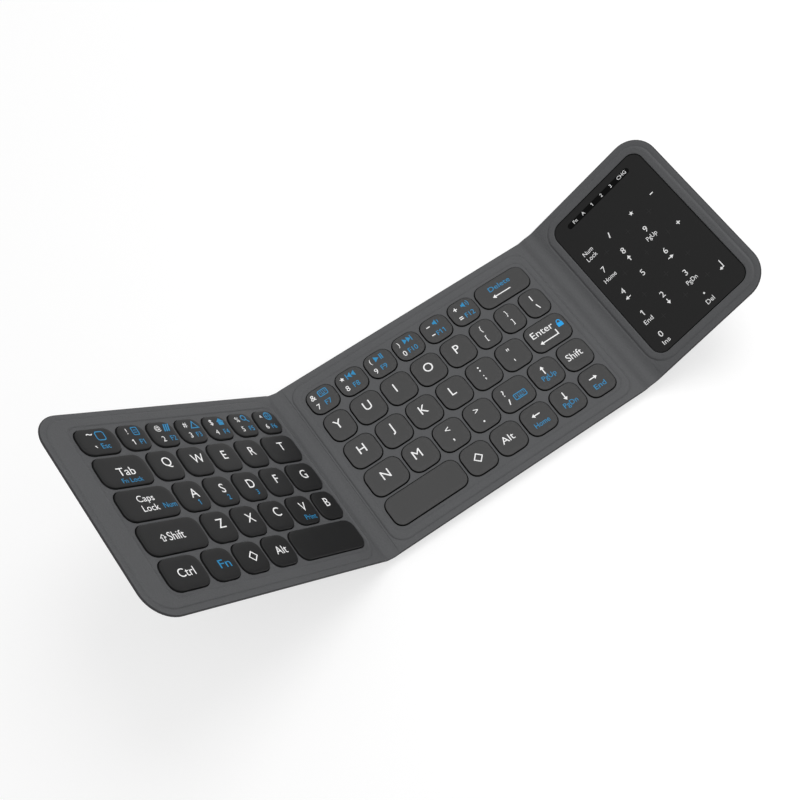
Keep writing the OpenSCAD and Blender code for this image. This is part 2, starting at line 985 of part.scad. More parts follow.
// Socket shell with its tongue and back wall
module charge_port() {
    color(steel)
        at_right()
            at_port() {
                difference() {
                    linear_extrude(port_l)
                        port_outline(0);
                    translate([0, 0, -1])
                        linear_extrude(port_l + 1 - 2 * port_wall)
                            port_outline(-port_wall);
                }
                translate([0, 0, port_l / 2 + port_wall])
                    cube([port_w - 2 * port_h, port_tongue_t, port_l - 2 * port_wall], center = true);
            }
}

module magnets_right() {
    color(steel)
        at_right()
            magnet_bars(0);
}

// ---------------------------------------------------------------- keys of the left wing

module key_escape() {
    color(cap_plastic)
        at_left_keys([[0, 0]]);
}

module keys_digits_left() {
    color(cap_plastic)
        at_left_keys([for (i = [1:6]) [0, i]]);
}

module key_tab() {
    color(cap_plastic)
        at_left_keys([[1, 0]]);
}

module keys_upper_left() {
    color(cap_plastic)
        at_left_keys([for (i = [1:5]) [1, i]]);
}

module key_caps_lock() {
    color(cap_plastic)
        at_left_keys([[2, 0]]);
}

module key_a() {
    color(cap_plastic)
        at_left_keys([[2, 1]]);
}

module key_s() {
    color(cap_plastic)
        at_left_keys([[2, 2]]);
}

module key_d() {
    color(cap_plastic)
        at_left_keys([[2, 3]]);
}

module key_f() {
    color(cap_plastic)
        at_left_keys([[2, 4]]);
}

module key_g() {
    color(cap_plastic)
        at_left_keys([[2, 5]]);
}

module key_shift_left() {
    color(cap_plastic)
        at_left_keys([[3, 0]]);
}

module keys_lower_left() {
    color(cap_plastic)
        at_left_keys([for (i = [1:5]) [3, i]]);
}

module key_control() {
    color(cap_plastic)
        at_left_keys([[4, 0]]);
}

module keys_modifiers_left() {
    color(cap_plastic)
        at_left_keys([for (i = [1:3]) [4, i]]);
}

module key_space_left() {
    color(cap_plastic)
        at_left_keys([[4, 4]]);
}

// ---------------------------------------------------------------- keys of the middle panel

module keys_digits_middle() {
    color(cap_plastic)
        at_middle_keys([for (i = [0:5]) [0, i]]);
}

module key_delete() {
    color(cap_plastic)
        at_middle_keys([[0, 6]]);
}

module keys_upper_middle() {
    color(cap_plastic)
        at_middle_keys([for (i = [0:4]) [1, i]]);
}

module keys_punctuation() {
    color(cap_plastic)
        at_middle_keys([[1, 5], [1, 6], [1, 7], [2, 4], [2, 5], [3, 2], [3, 3], [3, 4]]);
}

module key_h() {
    color(cap_plastic)
        at_middle_keys([[2, 0]]);
}

module key_j() {
    color(cap_plastic)
        at_middle_keys([[2, 1]]);
}

module key_k() {
    color(cap_plastic)
        at_middle_keys([[2, 2]]);
}

module key_l() {
    color(cap_plastic)
        at_middle_keys([[2, 3]]);
}

module key_enter() {
    color(cap_plastic)
        at_middle_keys([[2, 6]]);
}

module keys_n_m() {
    color(cap_plastic)
        at_middle_keys([[3, 0], [3, 1]]);
}

module key_shift_right() {
    color(cap_plastic)
        at_middle_keys([[3, 6]]);
}

module keys_arrows() {
    color(cap_plastic)
        at_middle_keys([[3, 5], [4, 3], [4, 4], [4, 5]]);
}

module keys_modifiers_middle() {
    color(cap_plastic)
        at_middle_keys([[4, 1], [4, 2]]);
}

module key_space_middle() {
    color(cap_plastic)
        at_middle_keys([[4, 0]]);
}

// ---------------------------------------------------------------- nodes

back_skin_middle();
tray_middle();
backplate_middle();
membrane_middle();
dome_sheet_middle();
scissor_clips_middle();
key_frame_middle();
face_skin_middle();
back_skin_left();
tray_left();
backplate_left();
membrane_left();
dome_sheet_left();
scissor_clips_left();
key_frame_left();
face_skin_left();
magnets_left();
back_skin_right();
tray_right();
battery();
touch_board();
status_leds();
touch_glass();
indicator_window();
face_skin_right();
charge_port();
magnets_right();
fold_strip_left();
fold_strip_right();
ribbon_left();
ribbon_right();
key_escape();
keys_digits_left();
key_tab();
keys_upper_left();
key_caps_lock();
key_a();
key_s();
key_d();
key_f();
key_g();
key_shift_left();
keys_lower_left();
key_control();
keys_modifiers_left();
key_space_left();
keys_digits_middle();
key_delete();
keys_upper_middle();
keys_punctuation();
key_h();
key_j();
key_k();
key_l();
key_enter();
keys_n_m();
key_shift_right();
keys_arrows();
keys_modifiers_middle();
key_space_middle();
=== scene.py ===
"""Looks of a folding keyboard: leather covers with creased folds, keycaps, printed legends and touch panel.

Run as a script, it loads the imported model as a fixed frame, then makes every visible piece around it.
Sizes in the code are millimetres until a piece's mesh is made, and metres from there on.
Each panel has its own reading coordinates: x to the typist's right, y away from the typist and z up from
its underside. On the middle panel x starts at the middle, and on a wing at its fold line.
"""

import json
import math

import bmesh
import bpy
import numpy as np
from bpy.props import FloatProperty, FloatVectorProperty, PointerProperty
from bpy.types import Operator, Panel, PropertyGroup
from mathutils import Matrix, Vector

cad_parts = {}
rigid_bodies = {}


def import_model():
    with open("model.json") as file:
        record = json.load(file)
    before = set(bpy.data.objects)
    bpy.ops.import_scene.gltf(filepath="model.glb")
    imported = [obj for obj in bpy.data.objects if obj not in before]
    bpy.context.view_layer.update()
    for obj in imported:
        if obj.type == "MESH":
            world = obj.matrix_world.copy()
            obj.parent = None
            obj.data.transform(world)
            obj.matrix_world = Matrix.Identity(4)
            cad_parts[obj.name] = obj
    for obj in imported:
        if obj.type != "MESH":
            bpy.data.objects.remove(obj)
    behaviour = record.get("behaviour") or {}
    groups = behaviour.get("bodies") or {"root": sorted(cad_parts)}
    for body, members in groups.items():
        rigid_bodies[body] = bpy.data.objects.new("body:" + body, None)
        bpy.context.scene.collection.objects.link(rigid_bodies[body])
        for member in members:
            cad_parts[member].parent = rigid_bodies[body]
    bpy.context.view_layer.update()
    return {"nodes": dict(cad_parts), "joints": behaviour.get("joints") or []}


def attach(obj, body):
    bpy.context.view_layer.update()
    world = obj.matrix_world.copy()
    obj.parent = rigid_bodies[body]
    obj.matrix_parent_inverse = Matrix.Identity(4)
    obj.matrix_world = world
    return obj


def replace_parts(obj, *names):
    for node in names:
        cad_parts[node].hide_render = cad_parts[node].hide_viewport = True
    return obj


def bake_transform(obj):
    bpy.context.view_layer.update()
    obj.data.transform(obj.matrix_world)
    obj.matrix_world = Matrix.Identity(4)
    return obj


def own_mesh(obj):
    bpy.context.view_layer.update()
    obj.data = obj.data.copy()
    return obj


bl_info = {
    "name": "Folding keyboard",
    "version": (1, 0, 0),
    "blender": (4, 5, 0),
    "location": "View3D > Sidebar > Keyboard",
    "description": "Covers, folds, keycaps, legends and touch panel of a folding keyboard",
    "category": "Object",
}

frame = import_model()

MM = 0.001
NODES = frame["nodes"]
JOINTS = {j["name"]: j for j in frame["joints"]}
PANEL_BODY = {"left": "left_wing", "middle": "middle_panel", "right": "right_wing"}
KEYED_PANELS = ("left", "middle")


def looks():
    """The sizes and colours that the sidebar offers."""
    return bpy.context.scene.keyboard_looks


# ---------------------------------------------------------------- panels and folds


def turned(x, z, angle):
    """x and z turned by an angle, or by an array of them, that raises +x towards +z."""
    c, s = np.cos(angle), np.sin(angle)
    return x * c - z * s, x * s + z * c


class Fold:
    """One side's two hinge axes, the strip between them and the angle that each is open by at rest."""

    def __init__(self, side):
        inner, outer = JOINTS[side + "_fold_inner"], JOINTS[side + "_fold_outer"]
        self.sign = -1.0 if side == "left" else 1.0
        self.seam = inner["pos_m"][2] / MM
        self.x = abs(inner["pos_m"][0]) / MM
        run = abs(outer["pos_m"][0]) / MM - self.x
        rise = outer["pos_m"][2] / MM - self.seam
        self.strip = math.hypot(run, rise)
        self.half = -math.radians(inner["range_deg"][0])

    def onto_row(self, x, z):
        """Row x and z of a place given from the outer axis: turned about it, then about the inner one."""
        x, z = turned(x, z, self.half)
        x, z = turned(x + self.strip, z, self.half)
        return self.sign * (self.x + x), self.seam + z


FOLDS = {side: Fold(side) for side in ("left", "right")}


def to_row(panel, points):
    """Reading coordinates of a panel, in millimetres, as row coordinates in metres."""
    points = np.asarray(points, float)
    if panel == "middle":
        return points * MM
    fold = FOLDS[panel]
    x, z = fold.onto_row(fold.sign * points[..., 0], points[..., 2] - fold.seam)
    return np.stack([x, points[..., 1], z], axis=-1) * MM


def from_row(panel, points):
    """Row coordinates in metres as a panel's reading coordinates in millimetres: the inverse of to_row."""
    points = np.asarray(points, float) / MM
    if panel == "middle":
        return points
    fold = FOLDS[panel]
    x, z = turned(fold.sign * points[..., 0] - fold.x, points[..., 2] - fold.seam, -fold.half)
    x, z = turned(x - fold.strip, z, -fold.half)
    return np.stack([fold.sign * x, points[..., 1], z + fold.seam], axis=-1)


def node_points(panel, node):
    """A node's vertices in a panel's reading coordinates."""
    mesh = NODES[node].data
    co = np.empty(len(mesh.vertices) * 3)
    mesh.vertices.foreach_get("co", co)
    return from_row(panel, co.reshape(-1, 3))


def node_box(panel, node, low=-math.inf, high=math.inf):
    """Lowest and highest corner of a node's vertices between two heights, in reading coordinates."""
    points = node_points(panel, node)
    points = points[(points[:, 2] > low) & (points[:, 2] < high)]
    return points.min(axis=0), points.max(axis=0)


def node_solids(panel, node):
    """A node's separate solids, as points and triangles: labels spread over the corners that faces share."""
    points = node_points(panel, node)
    mesh = NODES[node].data
    mesh.calc_loop_triangles()
    tris = np.empty(len(mesh.loop_triangles) * 3, int)
    mesh.loop_triangles.foreach_get("vertices", tris)
    unique, index = np.unique(np.round(points, 3), axis=0, return_inverse=True)
    tris = index.reshape(-1)[tris].reshape(-1, 3)
    labels = np.arange(len(unique))
    while True:
        lowest = labels[tris].min(axis=1)
        spread = labels.copy()
        np.minimum.at(spread, tris.reshape(-1), np.repeat(lowest, 3))
        spread = spread[spread]
        if np.array_equal(spread, labels):
            break
        labels = spread
    solids = []
    for label in np.unique(labels):
        inside = labels == label
        place = np.cumsum(inside) - 1
        solids.append((unique[inside], place[tris[inside[tris[:, 0]]]]))
    return solids


# Thickness of the leather, and how far the key bed lies below the border
SKIN = 0.5
BED_DROP = 0.3
# What counts as the same place, and how far a level is kept off when points above or below it are picked
NEAR = 0.01
CLEAR = 0.05

# Heights above a panel's underside, and the panels' half depth, from the frame
SEAM = FOLDS["left"].seam
RIM = SEAM + SKIN
RIM_UNDER = SEAM - SKIN
KEY_TOP = node_box("middle", "key_h")[1][2]
PANEL_Y, BORDER = node_box("middle", "face_skin_middle")[1][1:]
BED = BORDER - BED_DROP


# ---------------------------------------------------------------- meshes


def new_piece(name, verts, faces, materials, smooth=True):
    """A mesh object at the origin, with its place in its vertices."""
    mesh = bpy.data.meshes.new(name)
    mesh.from_pydata(np.asarray(verts).tolist(), [], faces)
    mesh.validate()
    mesh.polygons.foreach_set("use_smooth", np.full(len(mesh.polygons), smooth))
    for material in materials:
        mesh.materials.append(material)
    mesh.update()
    piece = bpy.data.objects.new(name, mesh)
    bpy.context.scene.collection.objects.link(piece)
    return piece


def rounded(x0, x1, y0, y1, left, right=None, steps=10, power=2.0):
    """A rounded rectangle's points, anticlockwise, with a corner size for its left and its right end.

    Each corner is a quarter of the curve |cos|^(2/p), |sin|^(2/p).
    """
    right = left if right is None else right
    t = np.linspace(0, math.pi / 2, steps + 1)
    c, s = np.cos(t) ** (2 / power), np.sin(t) ** (2 / power)
    corners = [
        (x1 - right + right * c, y1 - right + right * s),
        (x0 + left - left * s, y1 - left + left * c),
        (x0 + left - left * c, y0 + left - left * s),
        (x1 - right + right * s, y0 + right - right * c),
    ]
    return np.concatenate([np.stack(corner, axis=-1) for corner in corners])


def lofted(rings, wrap=False):
    """Vertices and faces of a surface through equal rings of points.

    It has a flat face on each end, or goes on from the last ring to the first.
    """
    rings = np.asarray(rings)
    count, around = rings.shape[:2]
    row = np.arange(count if wrap else count - 1)[:, None] * around
    a, b = row + np.arange(around), row + (np.arange(around) + 1) % around
    above = [(k + around) % (count * around) for k in (b, a)]
    faces = np.stack([a, b, *above], axis=-1).reshape(-1, 4).tolist()
    if not wrap:
        faces.append(list(range(around - 1, -1, -1)))
        faces.append(list(range((count - 1) * around, count * around)))
    return rings.reshape(-1, 3), faces


def ring_at(outline, z):
    """An outline at one height."""
    return np.column_stack([outline, np.full(len(outline), z)])


def joined(parts):
    """Several (vertices, faces) as one."""
    verts, faces, start = [], [], 0
    for v, f in parts:
        verts.append(v)
        faces += [[i + start for i in face] for face in f]
        start += len(v)
    return np.concatenate(verts), faces


def quarter(steps):
    """Sine and cosine over a quarter turn, for fillets."""
    t = np.linspace(0, math.pi / 2, steps + 1)
    return list(zip(np.sin(t), np.cos(t)))


# ---------------------------------------------------------------- materials


class Value:
    """A shader socket with the arithmetic of numbers: each operation adds one Math node."""

    def __init__(self, tree, socket):
        self.tree, self.socket = tree, socket

    def math(self, operation, *others, clamp=False):
        node = self.tree.nodes.new("ShaderNodeMath")
        node.operation = operation
        node.use_clamp = clamp
        for slot, value in zip(node.inputs, (self, *others)):
            plug(self.tree, slot, value)
        return Value(self.tree, node.outputs[0])

    def __add__(self, other):
        return self.math("ADD", other)

    def __mul__(self, other):
        return self.math("MULTIPLY", other)

    def __sub__(self, other):
        return self.math("SUBTRACT", other)

    def __rsub__(self, other):
        return (self * -1.0).math("ADD", other)

    __radd__ = __add__
    __rmul__ = __mul__

    def clamped(self):
        return self.math("ADD", 0.0, clamp=True)


def plug(tree, slot, value):
    """Links a Value or a socket to a slot, or sets a number, colour or vector on it."""
    if isinstance(value, Value):
        value = value.socket
    if isinstance(value, bpy.types.NodeSocket):
        tree.links.new(value, slot)
    else:
        slot.default_value = value


class Shading:
    """A node tree being made."""

    def __init__(self, tree):
        self.tree = tree

    def node(self, kind, settings=None, **inputs):
        """Adds a node: its settings first, then its sockets by name, with _ for a space."""
        node = self.tree.nodes.new(kind)
        for key, value in (settings or {}).items():
            setattr(node, key, value)
        for key, value in inputs.items():
            plug(self.tree, node.inputs[key.replace("_", " ")], value)
        return node

    def value(self, node, output):
        """A node's output as a Value."""
        return Value(self.tree, node.outputs[output])

    def mixed_light(self, factor, first, second):
        """The light of two shaders mixed by a factor."""
        node = self.node("ShaderNodeMixShader")
        for slot, value in zip(node.inputs, (factor, first.outputs[0], second.outputs[0])):
            plug(self.tree, slot, value)
        return node.outputs[0]


class Finish(Shading):
    """A material being made: a Principled shader and the nodes that feed it."""

    def __init__(self, name):
        self.material = bpy.data.materials.new(name)
        self.material.use_nodes = True
        super().__init__(self.material.node_tree)
        self.shader = self.tree.nodes["Principled BSDF"]
        self.place = self.node("ShaderNodeTexCoord").outputs["Object"]

    def noise(self, size, detail=2.0, roughness=0.5):
        """Noise from 0 to 1 whose blots are about size millimetres across."""
        scale = 1 / (size * MM)
        node = self.node(
            "ShaderNodeTexNoise", Vector=self.place, Scale=scale, Detail=detail, Roughness=roughness
        )
        return self.value(node, "Fac")

    def cells(self, size):
        """Distance to the nearest of cell points about size millimetres apart."""
        scale = 1 / (size * MM)
        node = self.node("ShaderNodeTexVoronoi", {"feature": "F1"}, Vector=self.place, Scale=scale)
        return self.value(node, "Distance")

    def tinted(self, factor, colour, dark, light):
        """A colour times dark where the factor is 0, and times light where it is 1."""
        node = self.node("ShaderNodeMix", {"data_type": "RGBA"})
        for slot, value in zip((0, 6, 7), (factor, shade(colour, dark), shade(colour, light))):
            plug(self.tree, node.inputs[slot], value)
        return node.outputs[2]

    def bumped(self, height, depth):
        """A normal bent by a height from 0 to 1 that stands for depth millimetres."""
        node = self.node("ShaderNodeBump", Height=height, Distance=depth * MM, Strength=1.0)
        return node.outputs["Normal"]

    def set(self, **inputs):
        """Sets or links sockets of the Principled shader."""
        for key, value in inputs.items():
            plug(self.tree, self.shader.inputs[key.replace("_", " ")], value)
        return self


def shade(colour, factor):
    """A colour made lighter or darker, as RGBA."""
    return (*[min(1.0, c * factor) for c in colour[:3]], 1.0)


FINISHES = {}


def finished(name, make):
    """The material of that name, made once. Its name is kept apart from the frame's own materials."""
    if name not in FINISHES:
        FINISHES[name] = make(Finish("finish_" + name)).material
    return FINISHES[name]


# Sizes of what colours the finishes: soft areas, marks of handling, wear, smears and haze
SOFT_AREAS, HANDLED, WORN, SMUDGES, HAZE = 26.0, 7.0, 9.0, 18.0, 12.0
# Sizes of their texture: fine grain as a share of the pebbles, streaks, paint sparkle and specks of ink
FINE_GRAIN, STREAKS, SPARKLE, SPECKS = 0.35, 0.5, 0.16, 0.3
# Depths of that texture in the edge dye, the paint and the ink
STREAK_DEPTH, SPARKLE_DEPTH, SPECK_DEPTH = 0.03, 0.006, 0.004


def leather():
    """Soft leather: pebbles that are darker at their rims, a painted shade in the grain's crevices, with
    slow blots where it was handled.
    """

    def make(f):
        grain_size = looks().grain_size / MM
        pebbles = f.cells(grain_size)
        fine = f.noise(grain_size * FINE_GRAIN, 3.0)
        soft = f.noise(SOFT_AREAS, 3.0)
        handled = f.noise(HANDLED, 4.0, 0.6)
        # The pebble rims' darkening is painted shade in the grain's crevices; the soft and handled blots are
        # random tone
        tone_and_crevice_shade = (soft * 0.4 + handled * 0.15 + (1.0 - pebbles) * 0.45).clamped()
        grain = (1.0 - pebbles) * 0.7 + fine * 0.3
        return f.set(
            Base_Color=f.tinted(tone_and_crevice_shade, looks().leather_colour, 0.84, 1.14),
            Roughness=0.62 + handled * 0.1 - pebbles * 0.05,
            Specular_IOR_Level=0.36,
            Normal=f.bumped(grain, looks().grain_depth / MM),
        )

    return finished("soft_leather", make)


def cut_edge():
    """The cut edge of the leather: darker than its face, with streaks of its fibres."""

    def make(f):
        streaks = f.noise(STREAKS, 4.0, 0.7)
        base = f.tinted(streaks, looks().edge_colour, 0.7, 1.3)
        return f.set(Base_Color=base, Roughness=0.5 + streaks * 0.2, Normal=f.bumped(streaks, STREAK_DEPTH))

    return finished("dyed_cut_edge", make)


def key_plastic(panel):
    """Keycap plastic. The left wing's copy has 0.4 of the middle one's specular level: painted shade that
    darkens the raised wing's keys.
    """
    # Painted shade: the wing's keycaps reflect less than the middle ones
    shine = looks().key_shine if panel == "middle" else looks().key_shine * 0.4

    def make(f):
        spark = f.noise(SPARKLE)
        worn = f.noise(WORN, 3.0)
        return f.set(
            Base_Color=f.tinted(worn, looks().key_colour, 0.93, 1.07),
            Roughness=looks().key_roughness + (worn - 0.5) * 0.08,
            Specular_IOR_Level=shine,
            Normal=f.bumped(spark, SPARKLE_DEPTH),
        )

    return finished("key_plastic_" + panel, make)


def print_ink(ink):
    """One of the inks of the legends, slightly speckled."""

    def make(f):
        speck = f.noise(SPECKS)
        base = f.tinted(speck, getattr(looks(), ink + "_ink"), 0.9, 1.05)
        return f.set(Base_Color=base, Roughness=0.5 + speck * 0.15, Normal=f.bumped(speck, SPECK_DEPTH))

    return finished(ink + "_print", make)


def plain(name, colour, roughness, metallic=0.0, size=1.5, depth=0.01):
    """A finish for inner parts: a colour with faint blots and a fine texture."""

    def make(f):
        blots = f.noise(size, 3.0)
        return f.set(
            Base_Color=f.tinted(blots, colour, 0.88, 1.12),
            Roughness=roughness + (blots - 0.5) * 0.1,
            Metallic=metallic,
            Normal=f.bumped(blots, depth),
        )

    return finished(name, make)


def tray_plastic():
    """Black moulded plastic of the trays, key frames and clips."""
    return plain("black_plastic", (0.016, 0.016, 0.017), 0.55)


def key_side():
    """The darker finish of a keycap's wall below its top: painted shade."""
    return plain("key_side", (0.007, 0.007, 0.0072), 0.62, size=0.6, depth=0.004)


def dome_rubber():
    """Milky silicone rubber of the domes."""
    return plain("dome_silicone", (0.6, 0.62, 0.62), 0.5)


def printed_film():
    """Amber film of the membranes and ribbon cables."""
    return plain("circuit_film", (0.5, 0.3, 0.12), 0.3)


def dark_glass():
    """Satin black glass with faint smears."""

    def make(f):
        smudges = f.noise(SMUDGES, 4.0, 0.6)
        return f.set(
            Base_Color=f.tinted(smudges, looks().glass_colour, 0.95, 1.05),
            Roughness=looks().glass_roughness + (smudges - 0.5) * 0.06,
            Specular_IOR_Level=0.32,
        )

    return finished("satin_glass", make)


def smoked_window():
    """The almost black window in front of the status lights."""

    def make(f):
        haze = f.noise(HAZE, 3.0)
        base = f.tinted(haze, (0.0025, 0.0025, 0.0025), 0.8, 1.2)
        return f.set(Base_Color=base, Roughness=0.3 + haze * 0.06, Specular_IOR_Level=0.07)

    return finished("smoked_window", make)


# ---------------------------------------------------------------- leather covers

# Corner sizes of the raised part, the opening for the key bed, the touch glass and the panels' outer ends
RAISED_CORNER = {"left": 10.4, "middle": 7.5, "right": 10.4}
BED_CORNER = 5.2
GLASS_CORNER = 5.6
OUTER_CORNER = 13.4
SQUARE = 0.02
# Rounding of the pan's outer floor and of the cut edge
PAN_ROUND = 2.5
CUT_ROUND = 0.42
# Clearance round the films that fill the key bed, and the gap round the touch glass
FILM_CLEARANCE = 0.1
GLASS_GAP = 0.35

# Where the panels' own covers stop before and after a fold, measured from its two hinge axes
BEND_START = {"left": (3.2, 2.4), "right": (0.6, 2.4)}
# How far the leather bends beyond a hinge axis into the strip between them
BEND_REACH = {"left": 1.8, "right": 4.5}
# How far pieces of leather run into each other where they meet in a fold, and their thickness's share there
LAP = 0.05
LAP_THICKNESS = 0.9
# Rounds of the search for a place in a fold, and stations along half of one
ROUNDS = 60
STATIONS = 33
# Share of the cut edge's rounding that takes the darker edge finish along a fold
DARKENED_SHARE = 0.55

# The flare that turns the pan's side out to the rim, and how far the crease lies out from the raised part
FLARE = 0.7
FOOT = {"left": 0.7, "middle": 0.25, "right": 0.7}
# Width of the border's rise inside the crease, and what is left of a narrow border beside two such widths
STEP = 1.9
STEP_CLEARANCE = 0.1
# The crease from the rim to its bottom, as shares of the foot's width and of the crease's depth
CREASE_OUTSIDE = ((1.0, 0.0), (0.45, 0.35), (0.0, 1.0))
# The crease's inner side, as shares of the step's width and of the crease's depth
CREASE_INSIDE = (0.1, 0.55)
# The rise from there to the border's flat top, as shares of the step's width and of its height
RISE = ((0.2, 0.25), (0.35, 0.7), (0.5, 0.93), (0.75, 1.0), (1.0, 1.0))
# The drop to the key bed, as shares of the step's width out from the bed's edge and heights above the bed
DROP = ((1.0, BED_DROP), (0.75, BED_DROP), (0.55, 0.26), (0.32, 0.14), (0.15, 0.03), (0.0, 0.0))
# The rounded lip round the touch glass, and the flat that leads to it
LIP = 0.45
LIP_FLAT = 0.5
# Depth of the opening's wall, and height of the pan's inner side over its round
OPENING_DEPTH = 0.8
INNER_SIDE = 0.2


class Outline:
    """A rounded rectangle that can be grown or shrunk, with its own corner sizes at both ends."""

    def __init__(self, low, high, left, right=None):
        self.x0, self.y0 = low[0], low[1]
        self.x1, self.y1 = high[0], high[1]
        self.left, self.right = left, left if right is None else right

    def grown(self, by, left_by=None, right_by=None):
        """Moves every side out by a distance, with others for the left and right side where given."""
        left_by = by if left_by is None else left_by
        right_by = by if right_by is None else right_by
        return Outline(
            (self.x0 - left_by, self.y0 - by),
            (self.x1 + right_by, self.y1 + by),
            max(SQUARE, self.left + by),
            max(SQUARE, self.right + by),
        )

    def points(self):
        """The outline's points, anticlockwise."""
        return rounded(self.x0, self.x1, self.y0, self.y1, self.left, self.right, 12)

    def ring(self, z):
        """The outline at one height."""
        return ring_at(self.points(), z)


def fold_ends(panel):
    """Where a panel's cover stops at its left and at its right, or None where no fold is."""
    if panel == "middle":
        return BEND_START["left"][0] - FOLDS["left"].x, FOLDS["right"].x - BEND_START["right"][0]
    stop = BEND_START[panel][1]
    return (None, -stop) if panel == "left" else (stop, None)


def cover_outlines(panel):
    """A panel's cut edge and its raised part, from the frame's skins."""
    skin = "back_skin_" + panel
    raised = Outline(*node_box(panel, skin, high=RIM_UNDER - CLEAR), RAISED_CORNER[panel])
    low, high = node_box(panel, skin)
    corners = []
    for end, stop in zip((low, high), fold_ends(panel)):
        if stop is not None:
            end[0] = stop
        corners.append(OUTER_CORNER if stop is None else SQUARE)
    return Outline(low, high, *corners), raised


def bed_outline(panel):
    """The key bed's outline: the films that fill it, with their clearance."""
    low, high = node_box(panel, "backplate_" + panel)
    return Outline(low[:2] - FILM_CLEARANCE, high[:2] + FILM_CLEARANCE, BED_CORNER)


def touch_outline():
    """The opening for the touch glass, with its gap."""
    low, high = node_box("right", "touch_glass")
    return Outline(low[:2] - GLASS_GAP, high[:2] + GLASS_GAP, GLASS_CORNER + GLASS_GAP)


def rim_rings(panel, edge, raised):
    """Rings from the outer floor up the pan's side and round the cut edge, all by quarter circles."""
    at_left, at_right = (stop is not None for stop in fold_ends(panel))

    def cut(by):
        return edge.grown(-by, 0.0 if at_left else -by, 0.0 if at_right else -by)

    rings = [raised.grown(-PAN_ROUND * (1 - s)).ring(PAN_ROUND * (1 - c)) for s, c in quarter(7)]
    for s, c in quarter(4):
        rings.append(raised.grown(min(FLARE * (1 - c), FOOT[panel])).ring(RIM_UNDER - FLARE * (1 - s)))
    rings += [cut(CUT_ROUND * (1 - s)).ring(RIM_UNDER + CUT_ROUND * (1 - c)) for s, c in quarter(4)]
    rings += [cut(CUT_ROUND * (1 - c)).ring(RIM - CUT_ROUND * (1 - s)) for s, c in quarter(4)]
    return rings


def border_rings(panel, raised, inside):
    """Rings over the border: down into the crease, up its rise, and down again into the opening."""
    narrowest = min(inside.x0 - raised.x0, raised.x1 - inside.x1)
    step = min(STEP, (narrowest - STEP_CLEARANCE) / 2)
    deep, rise = looks().crease_depth / MM, BORDER - RIM
    profile = [(FOOT[panel] * out, RIM - deep * down) for out, down in CREASE_OUTSIDE]
    profile.append((-step * CREASE_INSIDE[0], RIM - deep * CREASE_INSIDE[1]))
    profile += [(-step * back, RIM + rise * up) for back, up in RISE]
    rings = [raised.grown(out).ring(z) for out, z in profile]
    if panel == "right":
        profile = [(LIP + LIP_FLAT, BORDER)]
        profile += [(LIP * (1 - s), BORDER - LIP * (1 - c)) for s, c in quarter(5)]
    else:
        profile = [(step * out, BED + up) for out, up in DROP]
    return rings + [inside.grown(out).ring(z) for out, z in profile]


def cover_rings(panel):
    """A cover's rings, and the spans of them that show cut leather: its edge and the wall round the glass.

    They go from the outer floor round the rim and over the border into the opening, and back inside.
    """
    edge, raised = cover_outlines(panel)
    inside = touch_outline() if panel == "right" else bed_outline(panel)
    rings = rim_rings(panel, edge, raised)
    # The edge from the middle of its lower round to the rim
    darkened = [(len(rings) - 8, len(rings) - 1)]
    rings += border_rings(panel, raised, inside)
    rings.append(inside.ring(BORDER - OPENING_DEPTH))
    if panel == "right":
        # The lower half of the lip, and the wall
        darkened.append((len(rings) - 4, len(rings)))
    rings.append(raised.grown(-SKIN).ring(BORDER - OPENING_DEPTH))
    rings.append(raised.grown(-SKIN).ring(PAN_ROUND + INNER_SIDE))
    inner_round = PAN_ROUND - SKIN
    for s, c in quarter(5):
        rings.append(raised.grown(-SKIN - inner_round * (1 - c)).ring(SKIN + inner_round * (1 - s)))
    return np.array(rings), darkened


def make_cover(panel):
    """One leather cover as a closed thin shell, with its cut edge darker but not its ends at the folds."""
    rings, darkened = cover_rings(panel)
    around = rings.shape[1]
    quads = (len(rings) - 1) * around
    verts, faces = lofted(rings)
    piece = new_piece("cover_" + panel, to_row(panel, verts), faces, [leather(), cut_edge()])
    middle_x = verts[np.array(faces[:quads]), 0].mean(axis=1)
    square = np.zeros(len(faces), bool)
    for outwards, stop in zip((-1, 1), fold_ends(panel)):
        if stop is not None:
            square[:quads] |= (middle_x - stop) * outwards > -NEAR
    index = np.zeros(len(faces), int)
    for start, end in darkened:
        index[start * around : end * around] = 1
    index[square] = 0
    piece.data.polygons.foreach_set("use_smooth", ~square)
    piece.data.polygons.foreach_set("material_index", index)
    if panel == "right":
        cut_socket_mouth(piece)
    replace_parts(piece, "back_skin_" + panel, *(["face_skin_right"] if panel == "right" else []))
    return piece


# The gap round the charging socket, and how far its cutter stands out of the cover
MOUTH_GAP = 0.15
MOUTH_REACH = 4.0


def cut_socket_mouth(cover):
    """Cuts the mouth of the charging socket through the cover's far wall: a slot with half-round ends."""
    low, high = node_box("right", "charge_port")
    x, _, z = (low + high) / 2
    half_w, _, half_h = (high - low) / 2 + MOUTH_GAP
    turn = np.linspace(0, math.tau, 48, endpoint=False)
    slot_x = x + np.sign(np.cos(turn)) * (half_w - half_h) + half_h * np.cos(turn)
    slot_z = z + half_h * np.sin(turn)
    ends = (high[1] + MOUTH_REACH, high[1] - SKIN)
    verts, faces = lofted([np.column_stack([slot_x, np.full(len(turn), y), slot_z]) for y in ends])
    mouth = new_piece("socket_mouth", to_row("right", verts), faces, [cut_edge()])
    cutter = cover.modifiers.new("mouth", "BOOLEAN")
    cutter.operation = "DIFFERENCE"
    cutter.object = mouth
    cutter.material_mode = "TRANSFER"
    bpy.context.view_layer.update()
    opened = bpy.data.meshes.new_from_object(cover.evaluated_get(bpy.context.evaluated_depsgraph_get()))
    cover.modifiers.clear()
    cover.data = opened
    bpy.data.objects.remove(mouth)


# ---------------------------------------------------------------- key beds


